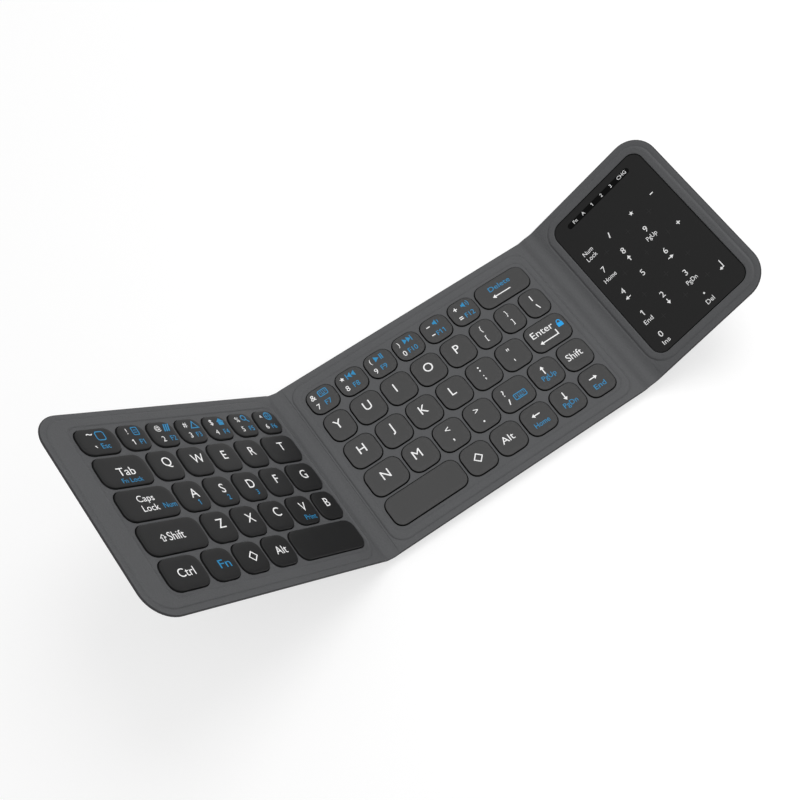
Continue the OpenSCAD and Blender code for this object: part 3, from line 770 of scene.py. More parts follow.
def curve_mesh(curve):
    """A curve or text as a mesh. The curve is removed."""
    holder = bpy.data.objects.new(curve.name, curve)
    bpy.context.scene.collection.objects.link(holder)
    bpy.context.view_layer.update()
    depsgraph = bpy.context.evaluated_depsgraph_get()
    mesh = bpy.data.meshes.new_from_object(holder.evaluated_get(depsgraph))
    bpy.data.objects.remove(holder)
    bpy.data.curves.remove(curve)
    return mesh


def mesh_arrays(mesh):
    """A mesh's vertices and faces, once its seams are closed. The mesh itself is removed."""
    work = bmesh.new()
    work.from_mesh(mesh)
    bmesh.ops.remove_doubles(work, verts=work.verts, dist=1e-5)
    bmesh.ops.recalc_face_normals(work, faces=work.faces)
    work.to_mesh(mesh)
    work.free()
    co = np.empty(len(mesh.vertices) * 3)
    mesh.vertices.foreach_get("co", co)
    faces = [list(p.vertices) for p in mesh.polygons]
    bpy.data.meshes.remove(mesh)
    return co.reshape(-1, 3), faces


def flat_plate(name, loops, middle, thickness, bevel):
    """A plate about a middle height, filled from flat loops: its outside first, and then its holes."""
    curve = bpy.data.curves.new(name, "CURVE")
    curve.dimensions = "2D"
    curve.fill_mode = "BOTH"
    curve.extrude = thickness / 2 - bevel
    curve.bevel_depth = bevel
    curve.bevel_resolution = 1
    curve.offset = -bevel
    for loop_points in loops:
        spline = curve.splines.new("POLY")
        spline.points.add(len(loop_points) - 1)
        flat = np.column_stack([ring_at(loop_points, 0.0), np.ones(len(loop_points))])
        spline.points.foreach_set("co", flat.ravel())
        spline.use_cyclic_u = True
    verts, faces = mesh_arrays(curve_mesh(curve))
    return verts + (0.0, 0.0, middle), faces


# A keycap's corner size, the power of its curve, and the least straight stretch left on half a side
CAP_CORNER = 5.0
CAP_POWER = 2.25
CAP_STRAIGHT = 0.3


def cap_outline(x, y, w, d, grow=0.0):
    """A keycap's plan: straight sides that turn into full, soft corners."""
    corner = min(CAP_CORNER, w / 2 - CAP_STRAIGHT, d / 2 - CAP_STRAIGHT) + grow
    half_w, half_d = w / 2 + grow, d / 2 + grow
    return rounded(x - half_w, x + half_w, y - half_d, y + half_d, corner, None, 9, CAP_POWER)


def key_boxes(node):
    """Centre and size of each keycap in a node, from far to near and from left to right."""
    boxes = []
    for points, _ in node_solids(KEY_PANEL[node], node):
        side = points[(points[:, 2] > RIM_UNDER) & (points[:, 2] < KEY_TOP)]
        low, high = side.min(axis=0)[:2], side.max(axis=0)[:2]
        boxes.append((*((low + high) / 2), *(high - low)))
    return sorted(boxes, key=lambda box: (-round(box[1], 1), box[0]))


KEY_NODES = [n for n in NODES if n.startswith(("key_", "keys_")) and not n.startswith("key_frame")]
CARRIERS = {j["child"]: j["parent"] for j in frame["joints"]}
KEY_PANEL = {n: "left" if CARRIERS[n] == "left_wing" else "middle" for n in KEY_NODES}
KEY_BOXES = {n: key_boxes(n) for n in KEY_NODES}


def panel_boxes(panel):
    """Each keycap of a panel, as its node and its box."""
    return [(n, box) for n in KEY_NODES if KEY_PANEL[n] == panel for box in KEY_BOXES[n]]


def named(kind, node):
    """The name of a piece that belongs to a key node."""
    return kind + "_" + node.split("_", 1)[1]


# Softening of the key bed's edges
BED_BEVEL = 0.1


def make_bed(panel):
    """The leather between the keys: a thin plate with a soft-lipped opening for every keycap."""
    outline = bed_outline(panel).grown(looks().bed_tuck / MM)
    loops = [outline.points()]
    loops += [cap_outline(*box, looks().key_gap / MM) for _, box in panel_boxes(panel)]
    verts, faces = flat_plate("key_bed_" + panel, loops, BED - SKIN / 2, SKIN, BED_BEVEL)
    piece = new_piece("key_bed_" + panel, to_row(panel, verts), faces, [leather()], smooth=False)
    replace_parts(piece, "face_skin_" + panel)
    return piece


# ---------------------------------------------------------------- folds


def smooth_step(t):
    """From 0 to 1 with level ends: 3 t squared minus 2 t cubed."""
    t = np.clip(t, 0.0, 1.0)
    return t * t * (3 - 2 * t)


class Crease:
    """Half of a fold: from a panel to the middle of the strip, along u and at a height h over the seam.

    Each point of the flat sheet turns about the hinge axis by a share of its angle: the smooth step of
    how far its turned place lies between the two ends of the bend. That share is found by repeating.
    """

    def __init__(self, side, part):
        self.fold = FOLDS[side]
        self.inner = part == "inner"
        reach = BEND_REACH[side]
        first, last = BEND_START[side]
        before, after = (first, reach) if self.inner else (reach, last)
        self.u0 = -before if self.inner else -self.fold.strip / 2
        self.u1 = self.fold.strip / 2 if self.inner else after
        self.start = (-before, 0.0)
        self.end = turned(after, 0.0, self.fold.half)
        self.bodies = ("middle_panel", side + "_strip") if self.inner else (side + "_strip", side + "_wing")

    def laid(self, u, h):
        """Row x and z in millimetres of points along the flat sheet, at the angle of rest."""
        along = (self.end[0] - self.start[0], self.end[1] - self.start[1])
        length = along[0] ** 2 + along[1] ** 2
        share = smooth_step((u - self.u0) / (self.u1 - self.u0))
        for _ in range(ROUNDS):
            x, z = turned(u, h, share * self.fold.half)
            share = smooth_step(((x - self.start[0]) * along[0] + (z - self.start[1]) * along[1]) / length)
        return self.in_row(*turned(u, h, share * self.fold.half))

    def in_row(self, x, z):
        """Row x and z of a place given from this half's own hinge axis."""
        if not self.inner:
            x, z = turned(x + self.fold.strip, z, self.fold.half)
        return self.fold.sign * (self.fold.x + x), self.fold.seam + z

    def blend(self, piece):
        """Bakes the piece's placement into its mesh."""
        ends = [self.in_row(*point) for point in (self.start, self.end)]
        start, end = [(x * MM, 0.0, z * MM) for x, z in ends]
        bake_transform(piece)


def sheet_section(half_width, half_height, round_by):
    """Section of a sheet with rounded sides, as y and h."""
    turn = np.linspace(0, math.pi, 13)
    core = half_height - round_by
    y = half_width - round_by + round_by * np.sin(turn)
    h = round_by * np.cos(turn) + core * np.sign(np.cos(turn))
    flat = np.linspace(round_by - half_width, half_width - round_by, 25)[1:-1]
    level = np.full(len(flat), half_height)
    return np.concatenate([y, flat[::-1], -y[::-1], flat]), np.concatenate([h, -level, h[::-1], level])


def creased(name, crease, u, rise, section, materials):
    """A sheet of one section along a path of points u and rise, laid in a crease.

    Heights add to the path's rise along its normal. The last ring at both ends is thinner, so that it
    slips into what it meets, and flat ends keep the shading of the sheet straight up to them.
    """
    y, h = section
    slope_u, slope_h = np.gradient(u), np.gradient(rise)
    run = np.hypot(slope_u, slope_h)
    height = np.repeat(h[None, :], len(u), axis=0)
    height[[0, -1]] *= LAP_THICKNESS
    grid_u = u[:, None] - height * (slope_h / run)[:, None]
    grid_h = rise[:, None] + height * (slope_u / run)[:, None]
    x, z = crease.laid(grid_u, grid_h)
    row = np.stack([x, np.repeat(y[None, :], len(u), axis=0), z], axis=-1)
    if crease.fold.sign > 0:
        row = row[:, ::-1]
    verts, faces = lofted(row * MM)
    piece = new_piece(name, verts, faces, materials)
    smooth = np.ones(len(faces), bool)
    smooth[: len(y)] = False
    smooth[-len(y) - 2 :] = False
    piece.data.polygons.foreach_set("use_smooth", smooth)
    return piece


def make_crease(side, part):
    """Half of a fold's leather, from a panel to the middle of the strip."""
    crease = Crease(side, part)
    u = np.concatenate([[crease.u0 - LAP], np.linspace(crease.u0, crease.u1, STATIONS), [crease.u1 + LAP]])
    section = sheet_section(PANEL_Y, SKIN, CUT_ROUND)
    materials = [leather(), cut_edge()]
    piece = creased(f"crease_{side}_{part}", crease, u, np.zeros(len(u)), section, materials)
    polygons = piece.data.polygons
    centres = np.empty(len(polygons) * 3)
    polygons.foreach_get("center", centres)
    darkened = np.abs(centres[1::3]) > (PANEL_Y - CUT_ROUND * DARKENED_SHARE) * MM
    darkened[-2:] = False
    polygons.foreach_set("material_index", darkened.astype(int))
    crease.blend(piece)
    return piece


# A ribbon cable's solid is read from this far off the hinge axis and within this height of the seam
RIBBON_NEAR = 0.5
RIBBON_HEIGHT = 8.0
# Radius of the two bends at its riser, and the rounding of its sides as a share of half its thickness
RIBBON_BEND = 0.35
RIBBON_ROUND = 0.8


def ribbon_path(side, part):
    """A ribbon's middle line from its foot in a panel to the middle of the strip, and half its thickness.

    It lies flat on its foot, turns up or down at its riser by two quarter circles and runs along the seam.
    """
    fold = FOLDS[side]
    inner = part == "inner"
    points = node_points("middle" if inner else side, "ribbon_" + side)
    away = fold.x - fold.sign * points[:, 0] if inner else fold.sign * points[:, 0]
    height = points[:, 2] - fold.seam
    here = (away > RIBBON_NEAR) & (np.abs(height) < RIBBON_HEIGHT)
    away, height = away[here], height[here]
    half = height.max()
    foot = height.min() + half
    riser = away[np.abs(height) < 2 * half].max() - half
    bend = min(RIBBON_BEND, abs(foot) / 2)
    s, c = np.array(quarter(4)).T
    level = np.linspace(riser - 2 * bend, 0, 12)
    strip = np.linspace(0, fold.strip / 2, 9)[1:]
    u = np.concatenate([[-away.max()], -riser - bend * (1 - s), -riser + bend * (1 - c), -level, strip])
    seam = np.zeros(len(level) + len(strip))
    rise = np.concatenate([[foot], foot + bend * (1 - c), -bend * (1 - s), seam])
    return (u, rise, half) if inner else (-u[::-1], rise[::-1], half)


def make_ribbon(side, part):
    """Half of a ribbon cable: a thin film strip that bends inside the fold's leather."""
    crease = Crease(side, part)
    u, rise, half = ribbon_path(side, part)
    low, high = node_box("middle", "ribbon_" + side)
    section = sheet_section((high[1] - low[1]) / 2, half, half * RIBBON_ROUND)
    piece = creased(f"ribbon_{side}_{part}", crease, u, rise, section, [printed_film()])
    crease.blend(piece)
    return piece


# ---------------------------------------------------------------- keycaps

# A cap's top: distances in from its side and depths below its highest part, where its edge begins,
# and the share of that edge's rounding that keeps the top's finish; below it the darker side finish is
# painted shade
CAP_FACE = ((2.6, 0.0), (2.0, 0.0), (1.3, 0.01), (0.9, 0.03))
CAP_EDGE = 0.06
UNSHADED_SHARE = 0.45
# The flange round its foot, the ring just above it that keeps its corner crisp, and the hollow inside
FLANGE_REACH = 0.65
FLANGE_THICKNESS = 0.4
FLANGE_LOW = RIM_UNDER - 0.7
CRISP = 0.05
CAP_WALL = 1.0
CAP_ROOF = 0.9


def cap_rings(x, y, w, d):
    """Rings of one keycap: flat top, rounded edge, wall, flange, then the hollow inside."""
    fillet = looks().key_fillet / MM
    flange = FLANGE_LOW + FLANGE_THICKNESS
    profile = [(-back, KEY_TOP - down) for back, down in CAP_FACE]
    profile += [(-fillet * (1 - s), KEY_TOP - CAP_EDGE - fillet * (1 - c)) for s, c in quarter(6)]
    profile += [(0.0, flange + CRISP), (0.0, flange), (FLANGE_REACH, flange), (FLANGE_REACH, FLANGE_LOW)]
    profile += [(-CAP_WALL, FLANGE_LOW), (-CAP_WALL, KEY_TOP - CAP_ROOF)]
    return [ring_at(cap_outline(x, y, w, d, grow), z) for grow, z in profile]


def make_caps(node):
    """All keycaps of one node as one piece. The top's finish reaches down to about the middle of their
    rounded edge; the darker side finish below it is painted shade.
    """
    verts, faces = joined([lofted(cap_rings(*box)[::-1]) for box in KEY_BOXES[node]])
    materials = [key_plastic(KEY_PANEL[node]), key_side()]
    piece = new_piece(named("cap", node), to_row(KEY_PANEL[node], verts), faces, materials)
    # Faces below this height take the darker side finish, which is painted shade on the cap's wall
    painted = KEY_TOP - CAP_EDGE - looks().key_fillet / MM * UNSHADED_SHARE
    index = [int(verts[face, 2].mean() < painted) for face in faces]
    piece.data.polygons.foreach_set("material_index", index)
    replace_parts(piece, node)
    return piece


# ---------------------------------------------------------------- under the keys

# Radii of a dome's base, its crown and the hole in it, the rubber's thickness, and the sheet's soft edges
DOME_BASE = 2.6
DOME_TOP = 1.5
DOME_PIN = 0.15
DOME_WALL = 0.4
SHEET_BEVEL = 0.03

CLIP_SOLIDS = {panel: node_solids(panel, "scissor_clips_" + panel) for panel in KEYED_PANELS}


def switch_levels(panel):
    """Heights of the dome sheet's underside, its deck and the domes' tops."""
    heights = np.unique(np.round(node_points(panel, "dome_sheet_" + panel)[:, 2], 2))
    return heights[0], heights[1], heights[-1]


def make_dome_sheet(panel):
    """The flat rubber sheet that carries the domes, open under each of them."""
    bottom, deck, _ = switch_levels(panel)
    low, high = node_box(panel, "dome_sheet_" + panel)
    loops = [rounded(low[0], high[0], low[1], high[1], BED_CORNER, None, 8)]
    loops += [disc(*box[:2], DOME_BASE - DOME_WALL) for _, box in panel_boxes(panel)]
    verts, faces = flat_plate("dome_sheet", loops, (bottom + deck) / 2, deck - bottom, SHEET_BEVEL)
    piece = new_piece("rubber_sheet_" + panel, to_row(panel, verts), faces, [dome_rubber()], smooth=False)
    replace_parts(piece, "dome_sheet_" + panel)
    return piece


def dome_rings(x, y, deck, top):
    """A rubber dome: a section goes up, over the crown and down inside, and is spun about the middle."""
    crown = top - deck
    section = [
        (DOME_BASE, 0.0), (DOME_BASE - 0.1, crown * 0.16),
        (DOME_TOP + 0.35, crown * 0.72), (DOME_TOP + 0.1, crown * 0.94), (DOME_TOP - 0.1, crown),
        (DOME_PIN, crown), (DOME_PIN, crown - DOME_WALL), (DOME_TOP - DOME_WALL, crown - DOME_WALL),
        (DOME_BASE - DOME_WALL, crown * 0.1), (DOME_BASE - DOME_WALL, 0.0),
    ]
    turn = np.linspace(0, math.tau, 20, endpoint=False)
    radius, height = np.array(section).T
    ring_x = x + radius[:, None] * np.cos(turn)
    ring_y = y + radius[:, None] * np.sin(turn)
    return np.stack([ring_x, ring_y, np.repeat(deck + height[:, None], len(turn), axis=1)], axis=-1)


def flattens(piece, panel, node, deck, top):
    """Hangs a piece on its panel's body and gives it a mesh of its own."""
    foot, head = to_row(panel, [(0.0, 0.0, deck), (0.0, 0.0, deck + 1)])
    keep = 1 - JOINTS["press_" + node]["range_m"][1] / MM / (top - deck)
    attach(piece, PANEL_BODY[panel])
    tuple(head - foot)
    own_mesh(piece)


def make_domes(node):
    """The rubber domes under one node's keys."""
    panel = KEY_PANEL[node]
    _, deck, top = switch_levels(panel)
    verts, faces = joined([lofted(dome_rings(*box[:2], deck, top), wrap=True) for box in KEY_BOXES[node]])
    piece = new_piece(named("dome", node), to_row(panel, verts), faces, [dome_rubber()])
    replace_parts(piece, "dome_sheet_" + panel)
    flattens(piece, panel, node, deck, top)
    return piece


def nearest_key(panel, place):
    """The node whose keycap's middle lies nearest to a place."""
    return min(panel_boxes(panel), key=lambda key: math.dist(key[1][:2], place))[0]


def make_clips(node):
    """The scissor clips under one node's keys, from the frame's solids."""
    panel = KEY_PANEL[node]
    parts = []
    for points, tris in CLIP_SOLIDS[panel]:
        middle = (points.min(axis=0) + points.max(axis=0))[:2] / 2
        if nearest_key(panel, middle) == node:
            parts.append((points, tris.tolist()))
    verts, faces = joined(parts)
    piece = new_piece(named("clips", node), to_row(panel, verts), faces, [tray_plastic()], smooth=False)
    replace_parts(piece, "scissor_clips_" + panel)
    flattens(piece, panel, node, switch_levels(panel)[1], verts[:, 2].max())
    return piece


# ---------------------------------------------------------------- legends

# How far the print stands above and reaches below the face that carries it
INK_HIGH = 0.02
INK_LOW = 0.05


def solid(outline):
    """A flat closed shape between heights 0 and 1, turned anticlockwise by the sign of its area."""
    outline = np.asarray(outline, float)
    x, y = outline.T
    if (x * np.roll(y, -1) - y * np.roll(x, -1)).sum() < 0:
        outline = outline[::-1]
    return lofted([ring_at(outline, 0.0), ring_at(outline, 1.0)])


def sides(points, width, closed):
    """Both sides of a line of some width.

    A corner is moved along its mitre: the sum of both normals over 1 plus their dot product.
    """
    points = np.asarray(points, float)
    step = np.roll(points, -1, axis=0) - points
    if not closed:
        step[-1] = step[-2]
    normal = np.column_stack([-step[:, 1], step[:, 0]]) / np.hypot(*step.T)[:, None]
    before = np.roll(normal, 1, axis=0)
    if not closed:
        before[0] = normal[0]
    mitre = (normal + before) / (1 + (normal * before).sum(axis=1))[:, None] * width / 2
    return points + mitre, points - mitre


def stroke(points, width):
    """A line with square ends as a solid."""
    left, right = sides(points, width, False)
    return solid(np.concatenate([right, left[::-1]]))


def loop(points, width):
    """A closed line as a solid. Its points run anticlockwise."""
    inner, outer = sides(points, width, True)
    rings = [ring_at(outer, 0.0), ring_at(outer, 1.0), ring_at(inner, 1.0), ring_at(inner, 0.0)]
    return lofted(rings, wrap=True)


def arc(x, y, radius, start, end, steps=14):
    """Points on a circle between two angles in degrees."""
    t = np.radians(np.linspace(start, end, steps + 1))
    return np.column_stack([x + radius * np.cos(t), y + radius * np.sin(t)])


def disc(x, y, radius):
    """Points on a whole circle."""
    return arc(x, y, radius, 0, 360)[:-1]


def frame_box(w, h, corner=0.3):
    """A rounded rectangle's points, round its middle."""
    return rounded(-w / 2, w / 2, -h / 2, h / 2, corner, None, 3)


def moved(part, x=0.0, y=0.0, turn=0.0):
    """A solid turned in its plane by degrees and moved."""
    verts, faces = part
    px, py = turned(verts[:, 0], verts[:, 1], math.radians(turn))
    return np.column_stack([px + x, py + y, verts[:, 2]]), faces


def arrow(length=4.4, head=1.5, half=1.1, width=0.55, turn=0.0):
    """An arrow along +x, centred on its length, then turned by degrees."""
    end, neck, w = length / 2, length / 2 - head, width / 2
    outline = [(-end, -w), (neck, -w), (neck, -half), (end, 0), (neck, half), (neck, w), (-end, w)]
    return moved(solid(outline), turn=turn)


def small_arrow(turn):
    """The arrows of the touch glass."""
    return arrow(3.0, 1.5, 1.0, 0.45, turn)


def triangle(x0, x1, half, x=0.0, y=0.0, turn=0.0):
    """A triangle that points along +x, then turned and moved."""
    return moved(solid([(x0, -half), (x1, 0.0), (x0, half)]), x, y, turn)


def plate(w, h, x=0.0, y=0.0, turn=0.0, corner=0.12):
    """A bar or block with slightly rounded corners."""
    return moved(solid(frame_box(w, h, corner)), x, y, turn)


def key_dots(places):
    """Two rows of square keys for the keyboard signs."""
    return [plate(0.42, 0.42, x, y, corner=0.1) for y in (0.75, 0.0) for x in places]


def speaker(*waves):
    """A loudspeaker with an arc for each radius of its waves."""
    body = solid([(-1.9, -0.6), (-1.1, -0.6), (0.0, -1.5), (0.0, 1.5), (-1.1, 0.6), (-1.9, 0.6)])
    return [body, *[stroke(arc(0.0, 0.0, radius, -45, 45, steps), 0.35) for radius, steps in waves]]


def star_points():
    """Ten points of a five-pointed star, with its tips and its notches by turns."""
    tip_and_notch = np.array([1.25, 0.5])[:, None]
    return np.concatenate([tip_and_notch * arc(0, 0, 1, 90 + 72 * k, 126 + 72 * k, 1) for k in range(5)])


# The head of the hollow arrow on a shift key
SHIFT_HEAD = [(1.35, 0.1), (0.0, 1.6), (-1.35, 0.1)]

# The marks that are not letters: each is a list of solids in millimetres round its middle
MARKS = {
    "to_right": lambda: [arrow()],
    "to_left": lambda: [arrow(turn=180)],
    "upward": lambda: [arrow(turn=90)],
    "downward": lambda: [arrow(turn=-90)],
    "small_right": lambda: [small_arrow(0)],
    "small_left": lambda: [small_arrow(180)],
    "small_up": lambda: [small_arrow(90)],
    "small_down": lambda: [small_arrow(-90)],
    "long_left": lambda: [arrow(10.3, 1.7, 1.1, 0.5, 180)],
    "bent_left": lambda: [
        stroke([(5.3, 1.5), (5.3, -1.2), (-3.6, -1.2)], 0.55),
        triangle(-1.7, 0.0, 1.1, -5.3, -1.2, 180),
    ],
    "bent_small": lambda: [
        stroke([(1.2, 2.1), (1.2, -1.7), (0.1, -1.7)], 0.42),
        triangle(-1.3, 0.0, 0.85, -1.2, -1.7, 180),
    ],
    "shift_arrow": lambda: [
        loop([(-0.6, -1.5), (0.6, -1.5), (0.6, 0.1), *SHIFT_HEAD, (-0.6, 0.1)], 0.32)
    ],
    "keyboard": lambda: [
        loop(frame_box(4.4, 3.0, 0.5), 0.4),
        stroke([(-0.9, -0.75), (0.9, -0.75)], 0.35),
        *key_dots((-1.35, -0.45, 0.45, 1.35)),
    ],
    "wide_keyboard": lambda: [
        loop(frame_box(6.3, 2.9, 0.5), 0.4),
        stroke([(-1.5, -0.75), (1.5, -0.75)], 0.35),
        *key_dots((-2.2, -1.1, 0.0, 1.1, 2.2)),
    ],
    "back": lambda: [
        triangle(-1.0, 1.0, 1.5, 1.2, 0, 180),
        triangle(-1.0, 1.0, 1.5, -0.9, 0, 180),
        plate(0.45, 3.0, -2.2, corner=0.1),
    ],
    "onward": lambda: [
        triangle(-1.0, 1.0, 1.5, -1.2),
        triangle(-1.0, 1.0, 1.5, 0.9),
        plate(0.45, 3.0, 2.2, corner=0.1),
    ],
    "play": lambda: [
        triangle(-1.2, 1.2, 1.5, -1.0),
        *[plate(0.5, 2.9, x, corner=0.1) for x in (1.05, 1.95)],
    ],
    "quiet": lambda: speaker((1.1, 6)),
    "loud": lambda: speaker((1.1, 6), (2.1, 8)),
    "screen": lambda: [loop(frame_box(4.2, 4.2, 1.0), 0.45)],
    "page": lambda: [
        loop(frame_box(2.9, 3.8, 0.3), 0.4),
        *[stroke([(-0.8, y), (0.8, y)], 0.35) for y in (0.5, -0.6)],
    ],
    "slats": lambda: [
        solid([(x, -1.9), (x + 0.7, -1.9), (x + 1.9, 1.9), (x + 1.2, 1.9)]) for x in (-2.1, -0.95, 0.2)
    ],
    "peak": lambda: [loop([(-2.1, -1.6), (2.1, -1.6), (0.0, 1.8)], 0.5)],
    "house": lambda: [
        solid([(-2.2, 0.0), (0.0, 2.0), (2.2, 0.0)]),
        solid([(-1.5, -1.8), (1.5, -1.8), (1.5, -0.15), (-1.5, -0.15)]),
    ],
    "lens": lambda: [loop(disc(-0.5, 0.5, 1.35), 0.5), stroke([(0.55, -0.55), (1.9, -1.9)], 0.6)],
    "globe": lambda: [
        loop(disc(0, 0, 2.1), 0.42),
        stroke([(-1.9, 0.0), (1.9, 0.0)], 0.34),
        loop(disc(0, 0, 1.9) * (0.45, 1.0), 0.34),
    ],
    "lock": lambda: [
        plate(3.1, 2.2, 0.0, -0.7, corner=0.3),
        stroke([(-0.95, 0.4), *arc(0.0, 0.9, 0.95, 180, 0, 8), (0.95, 0.4)], 0.45),
    ],
    "diamond": lambda: [loop([(0, -2.2), (2.2, 0), (0, 2.2), (-2.2, 0)], 0.5)],
    "-": lambda: [plate(1.9, 0.48)],
    "_": lambda: [plate(2.0, 0.48)],
    "=": lambda: [plate(2.0, 0.45, y=0.5), plate(2.0, 0.45, y=-0.5)],
    "+": lambda: [
        solid(
            [(-1.0, -0.24), (-0.24, -0.24), (-0.24, -1.0), (0.24, -1.0), (0.24, -0.24), (1.0, -0.24)]
            + [(1.0, 0.24), (0.24, 0.24), (0.24, 1.0), (-0.24, 1.0), (-0.24, 0.24), (-1.0, 0.24)]
        )
    ],
    "|": lambda: [plate(0.52, 3.1)],
    "\\": lambda: [plate(0.52, 2.9, turn=18)],
    "/": lambda: [plate(0.52, 2.9, turn=-20)],
    ".": lambda: [solid(disc(0, 0, 0.45))],
    ":": lambda: [solid(disc(0, 0.9, 0.42)), solid(disc(0, -0.9, 0.42))],
    "*": lambda: [solid(star_points())],
    "cross_tick": lambda: [
        stroke([(-1.5, 0), (1.5, 0)], 0.2),
        stroke([(0, 0.1), (0, 1.5)], 0.2),
        stroke([(0, -1.5), (0, -0.1)], 0.2),
    ],
}


# Height of a sign that is set to its own size and not to the capitals'
SIGNS = {
    "{": 3.5, "[": 3.3, "}": 3.5, "]": 3.3, ";": 2.8, '"': 1.3, "'": 1.3, "<": 2.3, ",": 1.4, ">": 2.3,
    "?": 3.3, "(": 3.2, ")": 3.2, "~": 0.9, "`": 1.0, "!": 2.9, "@": 3.2, "#": 2.8, "$": 3.3, "%": 2.7,
    "^": 1.5, "&": 2.9,
}

# Of the built-in font at size 1: its capitals' height, the width of the stem of its 1, and the flag that is
# added there, by how far it reaches to the left, how far it falls that way, and how thick it is. Then how
# level and how exact its corners are
FONT_CAPITAL = 0.682
ONE_STEM = 0.098
FLAG_REACH, FLAG_FALL, FLAG_THICK = 0.16, 0.13, 0.1
FONT_LEVEL, FONT_NEAR = 1e-4, 2e-3


def flags_for_ones(verts):
    """The flags of a word's ones, whose top corners are a stem's width apart and as high as the word."""
    tall = verts[:, 1].max()
    corners = verts[verts[:, 1] > tall - FONT_LEVEL, 0]
    flags = []
    for x in np.unique(np.round(corners, 4)):
        if np.abs(corners - x - ONE_STEM).min() < FONT_NEAR:
            low = tall - FLAG_FALL
            points, faces = solid(
                [(x, tall), (x - FLAG_REACH, low), (x - FLAG_REACH, low - FLAG_THICK), (x, low)]
            )
            flags.append((points - (0.0, 0.0, 0.5), faces))
    return flags


def word(text):
    """A word's solids between heights 0 and 1, with capitals 1 high and its own middle at the origin."""
    curve = bpy.data.curves.new(text, "FONT")
    curve.body = text
    curve.size = 1.0
    curve.resolution_u = 4
    curve.extrude = 0.5
    verts, faces = mesh_arrays(curve_mesh(curve))
    if "1" in text:
        verts, faces = joined([(verts, faces), *flags_for_ones(verts)])
    middle = (verts.min(axis=0) + verts.max(axis=0)) / 2
    return (verts - middle) / (FONT_CAPITAL, FONT_CAPITAL, 1.0) + (0.0, 0.0, 0.5), faces


def printed(text, x, y, height=None, width=None):
    """A legend's solids in place, from height 0 to 1: a mark at its own size, or a word."""
    if text in MARKS:
        verts, faces = joined(MARKS[text]())
    else:
        verts, faces = word(text)
        span, tall = np.ptp(verts[:, :2], axis=0)
        height = SIGNS[text] / tall if text in SIGNS else height
        verts = verts * (width / span if width else height, height, 1.0)
    return verts + (x, y, 0.0), faces


# Capital heights
LETTER, DIGIT, SIGN, LABEL, SMALL = 4.4, 2.7, 3.4, 2.5, 2.2
WORD, STACKED_WORD = 3.8, 3.0
TOUCH_DIGIT, WINDOW_SIGN = 2.95, 1.75

